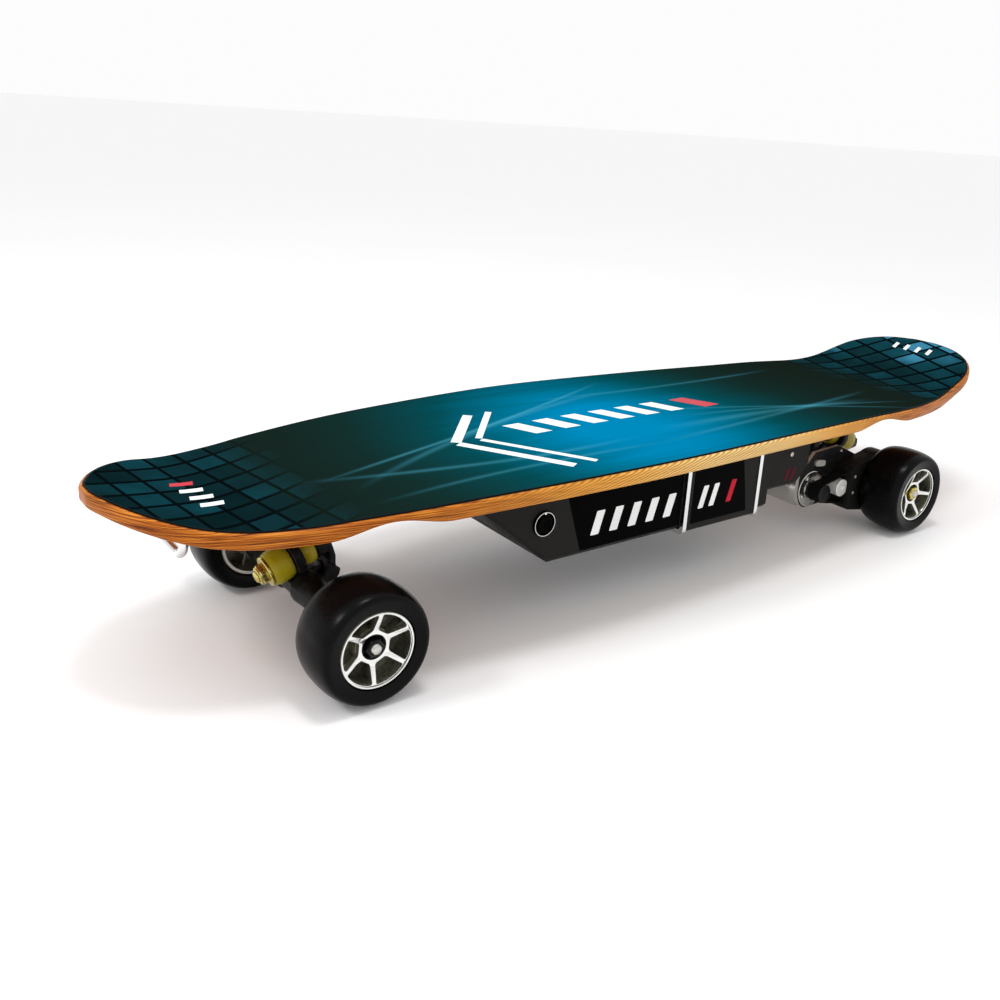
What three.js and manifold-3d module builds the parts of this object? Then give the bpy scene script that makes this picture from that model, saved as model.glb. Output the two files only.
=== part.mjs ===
// Electric skateboard: plywood deck, two reverse-kingpin trucks, belt drive on the
// left rear wheel and a battery box under the deck.
// Millimetres. +X to the nose, +Y to the board's left, +Z up.
// The origin is on the ground under the middle of the deck.
import * as THREE from 'three';
import { mergeVertices } from 'three/addons/utils/BufferGeometryUtils.js';
import Module from 'manifold-3d';

const wasm = await Module();
wasm.setup();

// ---- driving dimensions ----
const GAP = 0.3;
const FAR = 300;

// wheels and axles
const WHEEL_R = 45;
const WHEEL_W = 47;
const TRACK_HALF = 107;
const FRONT_AXLE_X = 341;
const REAR_AXLE_X = -311.7;
const AXLE_R = 4;
const AXLE_HALF = 128;
const RIM_R = 29.2;
const HUB_HALF = 22;
const SPOKES = 6;

// deck
const DECK_T = 12;
const DECK_EDGE_R = 2.4;
const TIP = 496;
const TIP_HALF = { nose: 8, tail: 12 };
const STATIONS = 56;
const SHEET_T = 0.8;
// deck outline, nose to tail: station along X, half width
const DECK_PLAN = [
  [496, 0], [495, 10], [492, 20], [488, 30], [482.5, 40], [475.5, 51], [467, 61], [457, 71],
  [444, 79.5], [401, 93], [341, 107], [261, 120], [141, 130], [41, 132.4], [-99, 126],
  [-219, 118.5], [-299, 114], [-359, 104], [-399, 95.5], [-439, 89], [-456, 82.5], [-468, 73.5],
  [-478, 62.5], [-485, 51], [-490.5, 38], [-494.5, 22], [-496, 0],
];
// deck side view, tail to nose: station along X, height of the top face
const DECK_RISE = [
  [-501, 172.4], [-483, 167.4], [-461, 160], [-439, 152.1], [-419, 145.9], [-399, 140.6],
  [-379, 137.5], [-359, 136.4], [-299, 137.2], [-99, 140.4], [41, 141.3], [221, 138.5],
  [341, 133.5], [381, 131.3], [401, 131.3], [421, 132.6], [441, 136], [461, 140.2],
  [481, 145], [501, 150.2],
];
// relief in the deck's underside above each wheel: centre, half length, depth
const WELLS = [[319, 46, 7], [-249, 52, 7]];

// truck baseplates and their bolts
const PLATE = { back: -46, front: 38, halfW: 28, bottom: 107, top: 114.7 };
const BOLT_SPAN = [27.5, -36];
const BOLT_Y = 20.65;
const BOLT_R = 2.5;
const BOLT_HOLE_R = 2.8;
const BOLT_LENGTH = 10;

// kingpin and hanger: distances along the kingpin are from the middle of the eye
const KINGPIN_TILT = THREE.MathUtils.degToRad(20);
const KINGPIN_R = 4.8;
const KINGPIN_BORE_R = 5.1;
const BOSS = { start: -28, end: -16.3, r: 11 };
const EYE_HALF_T = 4;
const EYE_R = 17;
const BUSH_UPPER_R = 12.5;
const BUSH_LOWER_R = 14.5;
const NUT_FLANGE = { r: 12.5, t: 2.4 };
const NUT_R = 8.8;
const TUBE_R = 11;
const TUBE_HALF = 80;
const PIVOT_R = 4.5;
const PIVOT_DEPTH = 10;
const WEB_HALF = 9;

// belt drive, in the plane of the axle
const DRIVE_Z = 45;
const MOTOR_X = -219;
const MOTOR_R = 22.5;
const MOTOR_END = 56;
const MOTOR_PLATE_Y = [56, 60];
const WHEEL_PULLEY_R = 26;
const WHEEL_FLANGE_R = 28.4;
const MOTOR_PULLEY_R = 8;
const MOTOR_FLANGE_R = 10;
const BELT_Y = [64.8, 77.2];
const BELT_T = 2;
const GROOVE_Y = [64.4, 77.6];

// battery box and controller cover
const BOX = { halfW: 95, bottom: 57.8, wall: 3, back: -102, foot: 165, nose: 257.4, chamfer: 4 };
const COVER = { halfW: 88, bottom: 70, wall: 2.4, back: -169, foot: -155, step: 14 };
const BAND = [-80, 11];
const BAND_T = 3;
const TRIM_T = 4;
const TRIM_W = 4.6;
const BUTTON_AT = [174, 95];
const BUTTON_HOLE_R = 8.4;
const SOCKET_AT = [136, 95];
const SOCKET_HOLE_R = 7.3;

// carry handle
const HANDLE_X = 442;
const HANDLE_HALF = 38;
const HANDLE_LOW = 101;
const HANDLE_ROD_R = 4;
const HANDLE_BEND = 14;

// ---- materials ----
const paint = (color, roughness, metalness = 0) =>
  new THREE.MeshStandardMaterial({ color, roughness, metalness });
const MAT = {
  maple: paint(0xd9a04a, 0.5),
  print: paint(0x0b5f7c, 0.35),
  black: paint(0x16161a, 0.4, 0.3),
  plastic: paint(0x1b1a1d, 0.45),
  steel: paint(0xb8b8b4, 0.3, 1),
  chrome: paint(0xe4e6e8, 0.12, 1),
  alloy: paint(0xc9c9c6, 0.22, 1),
  urethane: paint(0xc6b83c, 0.4),
  tyre: paint(0x141415, 0.35),
  rubber: paint(0x101010, 0.7),
  zinc: paint(0xb9a765, 0.35, 1),
  wrap: paint(0x24507e, 0.5),
  indicator: paint(0x1c1c20, 0.3),
};

// ---- solids ----
function toSolid(geometry) {
  const bare = geometry.index ? geometry.toNonIndexed() : geometry.clone();
  for (const name of Object.keys(bare.attributes)) {
    if (name !== 'position') bare.deleteAttribute(name);
  }
  const merged = mergeVertices(bare, 1e-4);
  const p = merged.attributes.position.array;
  const raw = merged.index.array;
  const tris = [];
  let volume = 0;
  for (let i = 0; i < raw.length; i += 3) {
    const [a, b, c] = [raw[i], raw[i + 1], raw[i + 2]];
    if (a === b || b === c || a === c) continue;
    tris.push(a, b, c);
    const va = new THREE.Vector3().fromArray(p, a * 3);
    const vb = new THREE.Vector3().fromArray(p, b * 3);
    const vc = new THREE.Vector3().fromArray(p, c * 3);
    volume += va.dot(vb.cross(vc));
  }
  if (volume < 0) {
    for (let i = 0; i < tris.length; i += 3) [tris[i], tris[i + 1]] = [tris[i + 1], tris[i]];
  }
  const mesh = new wasm.Mesh({
    numProp: 3,
    vertProperties: new Float32Array(p),
    triVerts: new Uint32Array(tris),
  });
  return new wasm.Manifold(mesh);
}

function toGeometry(solid) {
  const mesh = solid.getMesh();
  const geometry = new THREE.BufferGeometry();
  geometry.setAttribute('position', new THREE.BufferAttribute(new Float32Array(mesh.vertProperties), 3));
  geometry.setIndex(new THREE.BufferAttribute(new Uint32Array(mesh.triVerts), 1));
  geometry.computeVertexNormals();
  return geometry;
}

const join = (...solids) => solids.reduce((a, b) => a.add(b));
const cut = (base, ...tools) => tools.reduce((a, b) => a.subtract(b), base);

// outline in X and Z, thickness from y0 to y1
function prismY(outline, y0, y1) {
  const shape = new THREE.Shape(outline.map(([x, z]) => new THREE.Vector2(x, z)));
  const g = new THREE.ExtrudeGeometry(shape, { depth: y1 - y0, bevelEnabled: false, steps: 1 });
  g.rotateX(Math.PI / 2);
  g.translate(0, y1, 0);
  return toSolid(g);
}

// outline in Y and Z, thickness from x0 to x1
function prismX(outline, x0, x1) {
  const shape = new THREE.Shape(outline.map(([y, z]) => new THREE.Vector2(y, z)));
  const g = new THREE.ExtrudeGeometry(shape, { depth: x1 - x0, bevelEnabled: false, steps: 1 });
  const turn = new THREE.Matrix4().makeBasis(
    new THREE.Vector3(0, 1, 0),
    new THREE.Vector3(0, 0, 1),
    new THREE.Vector3(1, 0, 0),
  );
  g.applyMatrix4(turn);
  g.translate(x0, 0, 0);
  return toSolid(g);
}

function box(x0, x1, y0, y1, z0, z1) {
  const g = new THREE.BoxGeometry(x1 - x0, y1 - y0, z1 - z0);
  g.translate((x0 + x1) / 2, (y0 + y1) / 2, (z0 + z1) / 2);
  return toSolid(g);
}

// round or many-sided bar from point a to point b
function bar(a, b, r0, r1 = r0, sides = 16) {
  const from = new THREE.Vector3(...a);
  const to = new THREE.Vector3(...b);
  const g = new THREE.CylinderGeometry(r1, r0, from.distanceTo(to), sides);
  const dir = to.clone().sub(from).normalize();
  g.applyQuaternion(new THREE.Quaternion().setFromUnitVectors(new THREE.Vector3(0, 1, 0), dir));
  const mid = from.add(to).multiplyScalar(0.5);
  g.translate(mid.x, mid.y, mid.z);
  return toSolid(g);
}

// solid of revolution about the Y axis; profile is [radius, y] pairs
function turned(profile, sides = 36) {
  const pts = profile.map(([r, y]) => new THREE.Vector2(r, y));
  if (profile[0][0] > 0) pts.push(pts[0].clone());
  return toSolid(new THREE.LatheGeometry(pts, sides));
}

// the same, about a line through a point, with y measured along it
function turnedAbout(profile, origin, direction, sides = 20) {
  const pts = profile.map(([r, y]) => new THREE.Vector2(r, y));
  pts.push(pts[0].clone());
  const g = new THREE.LatheGeometry(pts, sides);
  const up = new THREE.Vector3(0, 1, 0);
  g.applyQuaternion(new THREE.Quaternion().setFromUnitVectors(up, new THREE.Vector3(...direction)));
  g.translate(...origin);
  return toSolid(g);
}

// a cut can leave a film of no volume beside a body: only the body is kept
function mesh(name, solid, material) {
  const bodies = solid.decompose().filter((body) => body.volume() > 0.5);
  const m = new THREE.Mesh(toGeometry(bodies.length === 1 ? bodies[0] : solid), material);
  m.name = name;
  return m;
}

// smooth curve through [x, value] pairs sorted by x
function smooth(table, x) {
  const n = table.length;
  const slope = (i) => {
    if (i <= 0 || i >= n - 1) {
      const j = Math.min(Math.max(i, 1), n - 1);
      return (table[j][1] - table[j - 1][1]) / (table[j][0] - table[j - 1][0]);
    }
    const left = (table[i][1] - table[i - 1][1]) / (table[i][0] - table[i - 1][0]);
    const right = (table[i + 1][1] - table[i][1]) / (table[i + 1][0] - table[i][0]);
    return left * right <= 0 ? 0 : (2 * left * right) / (left + right);
  };
  let i = 0;
  while (i < n - 2 && x > table[i + 1][0]) i += 1;
  const h = table[i + 1][0] - table[i][0];
  const t = Math.min(Math.max((x - table[i][0]) / h, 0), 1);
  const [t2, t3] = [t * t, t * t * t];
  return (
    (2 * t3 - 3 * t2 + 1) * table[i][1] +
    (t3 - 2 * t2 + t) * h * slope(i) +
    (-2 * t3 + 3 * t2) * table[i + 1][1] +
    (t3 - t2) * h * slope(i + 1)
  );
}

const deckTop = (x) => smooth(DECK_RISE, x);

function wellDepth(x) {
  let depth = 0;
  for (const [centre, half, deep] of WELLS) {
    const t = Math.abs(x - centre) / half;
    if (t < 1) depth = Math.max(depth, deep * Math.cos((t * Math.PI) / 2) ** 2);
  }
  return depth;
}

// closed skin over a row of rings with the same number of points
function skin(rings) {
  const n = rings[0].length;
  const pos = rings.flat(2);
  const index = [];
  for (let i = 0; i < rings.length - 1; i += 1) {
    for (let j = 0; j < n; j += 1) {
      const a = i * n + j;
      const b = i * n + ((j + 1) % n);
      index.push(a, b, b + n, a, b + n, a + n);
    }
  }
  for (let j = 1; j < n - 1; j += 1) {
    index.push(0, j + 1, j);
    const last = (rings.length - 1) * n;
    index.push(last, last + j, last + j + 1);
  }
  const g = new THREE.BufferGeometry();
  g.setAttribute('position', new THREE.BufferAttribute(new Float32Array(pos), 3));
  g.setIndex(index);
  return toSolid(g);
}

// ---- deck and printed sheet ----
function deckStations() {
  const curve = new THREE.SplineCurve(DECK_PLAN.map(([x, w]) => new THREE.Vector2(x, w)));
  const pts = curve.getSpacedPoints(STATIONS);
  const inner = pts.filter((p) => Math.abs(p.x) < TIP - 0.6).map((p) => [p.x, p.y]);
  return [[TIP, TIP_HALF.nose], ...inner, [-TIP, TIP_HALF.tail]];
}

// section across the deck: rounded edges, and the relief fading in from the edge
function deckRing([x, w]) {
  const top = deckTop(x);
  const low = top - DECK_T;
  const lift = wellDepth(x);
  const r = Math.min(DECK_EDGE_R, w * 0.3);
  const under = (y) => low + lift * THREE.MathUtils.smoothstep(Math.abs(y), w - 48, w - 4);
  const half = [[w - r, top], [w - 0.3 * r, top - 0.3 * r], [w, top - r], [w, under(w) + r]];
  half.push([w - 0.3 * r, under(w) + 0.3 * r], [w - r, under(w - r)]);
  for (const inset of [14, 26, 38, 50]) {
    const y = Math.max(w - inset, w * (0.66 - inset / 80));
    half.push([y, under(y)]);
  }
  const left = half.map(([y, z]) => [x, y, z]);
  const right = half.map(([y, z]) => [x, -y, z]).reverse();
  return [...left, ...right];
}

function sheetRing([x, w]) {
  const z = deckTop(x) + GAP;
  const y = Math.max(w - DECK_EDGE_R, w * 0.7);
  return [[x, -y, z], [x, y, z], [x, y, z + SHEET_T], [x, -y, z + SHEET_T]];
}

const stations = deckStations();
const deckSolid = skin(stations.map(deckRing));
const lowered = deckSolid.translate([0, 0, -GAP]);
const underDeck = (solid) => solid.subtract(lowered);

const group = new THREE.Group();

const ENDS = [['front', FRONT_AXLE_X, 1], ['rear', REAR_AXLE_X, -1]];
const SIDES = [['left', 1], ['right', -1]];
const boltPlaces = [];
for (const [end, axle, out] of ENDS) {
  let number = 1;
  for (const u of BOLT_SPAN) {
    for (const y of [BOLT_Y, -BOLT_Y]) {
      boltPlaces.push([`${end}_bolt_${number}`, axle + out * u, y]);
      number += 1;
    }
  }
}
const boltTop = (x) => deckTop(x) - DECK_T + BOLT_LENGTH - 2;
const boltHoles = boltPlaces.map(([, x, y]) =>
  bar([x, y, PLATE.bottom - 7], [x, y, boltTop(x) + GAP], BOLT_HOLE_R, BOLT_HOLE_R, 12));

group.add(mesh('deck', cut(deckSolid, ...boltHoles), MAT.maple));
group.add(mesh('printed_sheet', skin(stations.map(sheetRing)), MAT.print));

const HEAD_T = 3;
const HEAD_R = [4, 4.6];
for (const [name, x, y] of boltPlaces) {
  const seat = PLATE.bottom - GAP;
  const shank = bar([x, y, PLATE.bottom - 1], [x, y, boltTop(x)], BOLT_R, BOLT_R, 12);
  const head = bar([x, y, seat - HEAD_T], [x, y, seat], ...HEAD_R, 12);
  group.add(mesh(name, join(shank, head), MAT.steel));
}

// ---- trucks ----
// In a truck's own frame +X points away from the middle of the board and the
// axle line is at x = 0. The kingpin line leans down and outwards; the hanger
// swings about the line from the pivot end up to the middle of its eye.
const line = (origin, ux, uz) => ({
  at: (s, p = 0) => [origin[0] + ux * s + uz * p, origin[1] + uz * s - ux * p],
  point: (s) => [origin[0] + ux * s, 0, origin[1] + uz * s],
  from: (x, z) => [(x - origin[0]) * ux + (z - origin[1]) * uz, (x - origin[0]) * uz - (z - origin[1]) * ux],
});

// baseplate with its kingpin boss and pivot lug
function baseplate(pin, arm, reach) {
  const mouth = reach - PIVOT_DEPTH;
  const back = pin.at(BOSS.start);
  const seat = PLATE.bottom + 1;
  const plate = box(PLATE.back, PLATE.front, -PLATE.halfW, PLATE.halfW, PLATE.bottom, PLATE.top);
  const boss = bar(pin.point(BOSS.start), pin.point(BOSS.end), BOSS.r);
  const faceTop = pin.at(BOSS.end, -BOSS.r);
  const crest = [faceTop[0] + (seat - faceTop[1]) * Math.tan(KINGPIN_TILT), seat];
  const web = prismY([pin.at(BOSS.end), faceTop, crest, [-17, seat], back], -WEB_HALF, WEB_HALF);
  const lug = prismY([arm.at(mouth, -7.7), arm.at(mouth, 8), arm.at(reach + 2, 8),
    arm.at(reach + 3.5, 4), arm.at(reach + 3.5, -5), arm.at(reach + 1, -7.7)], -WEB_HALF - 2, WEB_HALF + 2);
  const wall = prismY([[-17, seat], [-22, 84], [-28.5, 64], arm.at(reach + 3, 0),
    arm.at(mouth + 2, 7), back], -WEB_HALF, WEB_HALF);
  const bores = [bar(arm.point(mouth - 2), arm.point(reach + GAP), PIVOT_R + 0.4),
    bar(pin.point(BOSS.start + 4), pin.point(BOSS.end + 1.3), KINGPIN_BORE_R)];
  for (const u of BOLT_SPAN) {
    for (const y of [BOLT_Y, -BOLT_Y]) {
      bores.push(bar([u, y, PLATE.bottom - 7], [u, y, PLATE.top + 5.3], BOLT_HOLE_R, BOLT_HOLE_R, 12));
    }
  }
  return cut(join(plate, boss, web, lug, wall), ...bores);
}

// hanger: axle tube, kingpin eye, webs between them and the pivot pin
function hanger(pin, arm, reach) {
  const mouth = reach - PIVOT_DEPTH;
  const tube = bar([0, -TUBE_HALF, WHEEL_R], [0, TUBE_HALF, WHEEL_R], TUBE_R, TUBE_R, 20);
  const shoulders = [1, -1].map((side) =>
    bar([0, side * 15, WHEEL_R + 1], [0, side * 48, WHEEL_R], TUBE_R + 3, TUBE_R, 20));
  const eye = bar(pin.point(-EYE_HALF_T), pin.point(EYE_HALF_T), EYE_R, EYE_R, 22);
  const [ts, tp] = pin.from(0, WHEEL_R);
  const neck = prismY([pin.at(-EYE_HALF_T, 12.8), pin.at(EYE_HALF_T, 11), pin.at(ts + 7, tp),
    pin.at(ts - 5, tp - 1), pin.at((ts - 10) / 2, (tp + 14) / 2)], -WEB_HALF - 1, WEB_HALF + 1);
  const [td, te] = arm.from(0, WHEEL_R);
  const gusset = prismY([arm.at(24.3, 3.5), arm.at(mouth - 0.8, 4.2), arm.at(mouth - 0.8, -3.5),
    arm.at(td + 3, te), arm.at(td - 5, te), arm.at(19.5, 0.5)], -WEB_HALF + 4, WEB_HALF - 4);
  const pivot = bar(arm.point(24), arm.point(reach), PIVOT_R);
  const eyeHole = bar(pin.point(-EYE_HALF_T - 0.8), pin.point(EYE_HALF_T + 1), 7);
  const axleHole = bar([0, -FAR, WHEEL_R], [0, FAR, WHEEL_R], AXLE_R + GAP);
  const bushingRoom = bar(pin.point(BOSS.start - 2), pin.point(30), BUSH_LOWER_R + 0.9);
  return cut(join(cut(join(tube, ...shoulders, neck), bushingRoom), eye, gusset, pivot), eyeHole, axleHole);
}

function kingpinNut(pin, start, length) {
  const flange = bar(pin.point(start), pin.point(start + NUT_FLANGE.t), NUT_FLANGE.r, NUT_FLANGE.r, 20);
  const hex = bar(pin.point(start + 2), pin.point(start + length), NUT_R, NUT_R - 0.4, 6);
  const bore = bar(pin.point(start - 1), pin.point(start + length + 1), KINGPIN_BORE_R);
  return cut(join(flange, hex), bore);
}

function truck(prefix, axleX, out, eye, pivot, bushLength, nutLength) {
  const g = new THREE.Group();
  g.position.x = axleX;
  if (out < 0) g.rotation.z = Math.PI;

  const [kx, kz] = [Math.cos(KINGPIN_TILT), -Math.sin(KINGPIN_TILT)];
  const reach = Math.hypot(eye[0] - pivot[0], eye[1] - pivot[1]);
  const pin = line(eye, kx, kz);
  const arm = line(eye, (pivot[0] - eye[0]) / reach, (pivot[1] - eye[1]) / reach);
  g.add(mesh(`${prefix}_baseplate`, baseplate(pin, arm, reach), MAT.black));
  g.add(mesh(`${prefix}_hanger`, hanger(pin, arm, reach), MAT.black));

  const nutStart = EYE_HALF_T + 2 * GAP + bushLength;
  const pinEnd = nutStart + nutLength + 2;
  g.add(mesh(`${prefix}_kingpin`, bar(pin.point(BOSS.start + 4.5), pin.point(pinEnd), KINGPIN_R), MAT.steel));
  const nut = kingpinNut(pin, nutStart, nutLength);
  g.add(mesh(`${prefix}_kingpin_nut`, nut, out > 0 ? MAT.zinc : MAT.black));
  const bushing = (s0, s1, r) => {
    const b = KINGPIN_BORE_R;
    const section = [[b, s0], [r - 1.8, s0], [r, s0 + 2], [r, s1 - 2], [r - 1.8, s1], [b, s1]];
    return turnedAbout(section, [eye[0], 0, eye[1]], [kx, 0, kz]);
  };
  const upper = bushing(BOSS.end + GAP, -EYE_HALF_T - GAP, BUSH_UPPER_R);
  const lower = bushing(EYE_HALF_T + GAP, EYE_HALF_T + GAP + bushLength, BUSH_LOWER_R);
  g.add(mesh(`${prefix}_bushing_upper`, upper, MAT.urethane));
  g.add(mesh(`${prefix}_bushing_lower`, lower, MAT.urethane));

  const rod = bar([0, -AXLE_HALF, WHEEL_R], [0, AXLE_HALF, WHEEL_R], AXLE_R);
  g.add(mesh(`${prefix}_axle`, rod, MAT.steel));
  const bore = bar([0, -FAR, WHEEL_R], [0, FAR, WHEEL_R], AXLE_R + GAP);
  for (const [label, sign] of SIDES) {
    const side = sign * out;
    const hex = bar([0, side * (AXLE_HALF - 8.4), WHEEL_R], [0, side * (AXLE_HALF - 2), WHEEL_R], 7.4, 6.9, 6);
    g.add(mesh(`${prefix}_${label}_axle_nut`, cut(hex, bore), MAT.zinc));
  }
  return g;
}

group.add(truck('front', FRONT_AXLE_X, 1, [4, 66.5], [-26, 47], 17.5, 9));
group.add(truck('rear', REAR_AXLE_X, -1, [22, 72], [-27, 47], 21, 15));

// wedge between each baseplate and the deck
for (const [end, axle, out] of ENDS) {
  const [a, b] = [axle + out * PLATE.back, axle + out * PLATE.front];
  const block = box(Math.min(a, b), Math.max(a, b), -PLATE.halfW, PLATE.halfW, PLATE.top + GAP, 128);
  group.add(mesh(`${end}_riser`, cut(underDeck(block), ...boltHoles), MAT.rubber));
}

// ---- wheels ----
function tyreSolid() {
  const half = WHEEL_W / 2;
  const profile = [[RIM_R + GAP, -half], [RIM_R + GAP, half]];
  const steps = 9;
  for (let i = 0; i <= steps; i += 1) {
    const t = 1 - (2 * i) / steps;
    const edge = Math.abs(t) ** 2.4;
    profile.push([WHEEL_R - 5.8 * (1 - (1 - edge) ** 0.55), t * half]);
  }
  return turned(profile, 28);
}

function hubSolid() {
  const rim = turned([[25.6, -HUB_HALF], [RIM_R, -HUB_HALF], [RIM_R, HUB_HALF], [26.6, HUB_HALF]], 20);
  const barrel = turned([[11.2, -14], [14.6, -14], [15.2, 16], [13, 18], [11.2, 14]], 16);
  const floor = turned([[14, -3], [26.4, -3], [26.4, 0], [14, 0]], 12);
  const outline = [[-3.2, 12.5], [3.2, 12.5], [2.2, 20], [5.6, 27], [-5.6, 27], [-2.2, 20]];
  const spoke = prismY(outline, -2, HUB_HALF - 1.5);
  const spokes = [];
  for (let i = 0; i < SPOKES; i += 1) spokes.push(spoke.rotate([0, (360 / SPOKES) * i, 0]));
  return join(rim, barrel, floor, ...spokes);
}

const tyre = tyreSolid();
const hub = hubSolid();
const bearing = turned([[AXLE_R + GAP, -11.5], [10.9, -11.5], [10.9, 11.5], [AXLE_R + GAP, 11.5]], 16);

for (const [end, x] of ENDS) {
  for (const [side, sign] of SIDES) {
    const wheel = new THREE.Group();
    wheel.position.set(x, sign * TRACK_HALF, WHEEL_R);
    wheel.rotation.x = sign < 0 ? Math.PI : 0;
    wheel.add(mesh(`${end}_${side}_tyre`, tyre, MAT.tyre));
    wheel.add(mesh(`${end}_${side}_hub`, hub, MAT.alloy));
    wheel.add(mesh(`${end}_${side}_bearing`, bearing, MAT.black));
    group.add(wheel);
  }
}

// ---- belt drive on the left rear wheel, with heights measured from the axle ----
const drive = new THREE.Group();
drive.position.z = DRIVE_Z;

function addTurned(name, solid, x, material) {
  const made = mesh(name, solid, material);
  made.position.x = x;
  drive.add(made);
}

// points on an arc round a place on the drive's centre line, between two angles in degrees
function arc(x, radius, first, last, step) {
  const pts = [];
  const count = Math.round(Math.abs(last - first) / step);
  for (let i = 0; i <= count; i += 1) {
    const t = THREE.MathUtils.degToRad(first + ((last - first) * i) / count);
    pts.push([x + radius * Math.cos(t), radius * Math.sin(t)]);
  }
  return pts;
}

const canEnd = MOTOR_END - GAP;
const can = turned([[0, 0], [17, 0], [MOTOR_R, 5], [MOTOR_R, canEnd - 5.7], [19, canEnd], [0, canEnd]], 28);
const canBore = bar([0, canEnd - 7.7, 0], [0, canEnd + 1, 0], AXLE_R + 0.4);
addTurned('motor', cut(can, canBore), MOTOR_X, MAT.steel);

const plateOutline = [
  ...arc(MOTOR_X, MOTOR_R - 1, -70, -5, 13),
  [MOTOR_X + 21.5, 18], [MOTOR_X, 41], [MOTOR_X - 40, 43], [REAR_AXLE_X + 24, 30], [REAR_AXLE_X + 4, 20],
  ...arc(REAR_AXLE_X, 19, 100, 260, 20),
  [REAR_AXLE_X + 10, -17],
];
const [plateBack, plateFront] = MOTOR_PLATE_Y;
const tubeHole = bar([REAR_AXLE_X, 0, 0], [REAR_AXLE_X, FAR, 0], TUBE_R + GAP, TUBE_R + GAP, 20);
const shaftHole = bar([MOTOR_X, 0, 0], [MOTOR_X, FAR, 0], 6);
const postX = REAR_AXLE_X + 61;
const post = bar([postX, plateBack + 2, 1], [postX, plateFront + 17.5, 1], 9.5, 9.5, 22);
const plate = cut(prismY(plateOutline, plateBack, plateFront), tubeHole, shaftHole);
drive.add(mesh('motor_plate', join(plate, post), MAT.alloy));

const [grooveBack, grooveFront] = GROOVE_Y;
const pinion = turned([[0, plateBack - 7], [AXLE_R, plateBack - 7], [AXLE_R, plateFront + 1],
  [MOTOR_FLANGE_R, plateFront + 1], [MOTOR_FLANGE_R, grooveBack], [MOTOR_PULLEY_R, grooveBack],
  [MOTOR_PULLEY_R, grooveFront], [MOTOR_FLANGE_R, grooveFront], [MOTOR_FLANGE_R, grooveFront + 1.2],
  [0, grooveFront + 1.2]], 18);
addTurned('motor_pulley', pinion, MOTOR_X, MAT.steel);

const sleeve = { inner: 12.2, outer: 17, end: 83.2 };
const sprocket = turned([[sleeve.inner, grooveBack - 1.6], [WHEEL_FLANGE_R, grooveBack - 1.6],
  [WHEEL_FLANGE_R, grooveBack], [WHEEL_PULLEY_R, grooveBack], [WHEEL_PULLEY_R, grooveFront],
  [WHEEL_FLANGE_R, grooveFront], [WHEEL_FLANGE_R, grooveFront + 1.6], [sleeve.outer, grooveFront + 1.6],
  [sleeve.outer, sleeve.end], [sleeve.inner, sleeve.end]], 24);
addTurned('wheel_pulley', sprocket, REAR_AXLE_X, MAT.black);

// loop around both pulleys, a given distance outside their grooves
function loop(clear) {
  const [big, small] = [WHEEL_PULLEY_R + clear, MOTOR_PULLEY_R + clear];
  const lean = THREE.MathUtils.radToDeg(Math.acos((big - small) / (MOTOR_X - REAR_AXLE_X)));
  return [
    ...arc(REAR_AXLE_X, big, lean, 360 - lean, (360 - 2 * lean) / 20),
    ...arc(MOTOR_X, small, -lean, lean, (2 * lean) / 10),
  ];
}
const BELT_CLEAR = 0.5;
const beltOuter = prismY(loop(BELT_CLEAR + BELT_T), BELT_Y[0], BELT_Y[1]);
const beltInner = prismY(loop(BELT_CLEAR), BELT_Y[0] - 1, BELT_Y[1] + 1);
drive.add(mesh('drive_belt', cut(beltOuter, beltInner), MAT.rubber));

// housing over the wheel pulley: round behind the axle and open towards the motor
const guardOutline = (radius, nose, half) =>
  [[nose, -half], [nose, half], ...arc(REAR_AXLE_X, radius, 70, 290, 20)];
const GUARD = { r: 33.5, nose: REAR_AXLE_X + 54, half: 24, front: 81.6, wall: 2.2 };
const guardShell = prismY(guardOutline(GUARD.r, GUARD.nose, GUARD.half), plateFront + GAP, GUARD.front);
const guardRoom = prismY(guardOutline(GUARD.r - 2.3, GUARD.nose + 6, GUARD.half - GUARD.wall),
  plateFront - 1, GUARD.front - 2);
const guardHole = bar([REAR_AXLE_X, plateFront, 0], [REAR_AXLE_X, FAR, 0], 18.4, 18.4, 24);
const tab = box(GUARD.nose - 6, GUARD.nose - 3, grooveBack + 1.6, GUARD.front - 0.6, -12, 12);
const tabFoot = box(GUARD.nose - 8, GUARD.nose - 3, GUARD.front - 2.6, GUARD.front, -12, 12);
drive.add(mesh('belt_guard', join(cut(guardShell, guardRoom, guardHole), tab, tabFoot), MAT.plastic));
group.add(drive);

// ---- battery box ----
// the boxes run up past the deck's underside before the deck is cut away from them
const ABOVE = 134;
const chamfered = (half, low, chamfer) => [[-half, ABOVE + 6], [-half, low + chamfer], [-half + chamfer, low],
  [half - chamfer, low], [half, low + chamfer], [half, ABOVE + 6]];
const boxSide = (inset) => [[BOX.nose - 1.3 * inset, ABOVE], [BOX.foot - 0.7 * inset, BOX.bottom + inset],
  [BOX.back + inset, BOX.bottom + inset], [BOX.back + inset, ABOVE]];
const boxOuter = prismY(boxSide(0), -BOX.halfW, BOX.halfW)
  .intersect(prismX(chamfered(BOX.halfW, BOX.bottom, BOX.chamfer), -FAR, FAR));
const boxInner = prismY(boxSide(BOX.wall), -BOX.halfW + BOX.wall, BOX.halfW - BOX.wall);
const [buttonX, buttonZ] = BUTTON_AT;
const [socketX, socketZ] = SOCKET_AT;
const buttonHole = bar([buttonX, BOX.halfW - 15, buttonZ], [buttonX, BOX.halfW + 5, buttonZ],
  BUTTON_HOLE_R, BUTTON_HOLE_R, 28);
const socketHole = bar([socketX, -BOX.halfW - 5, socketZ], [socketX, -BOX.halfW + 15, socketZ], SOCKET_HOLE_R);
const wireHole = box(BOX.back - 8, BOX.back + 7, -12, 12, 78, 96);
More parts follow.
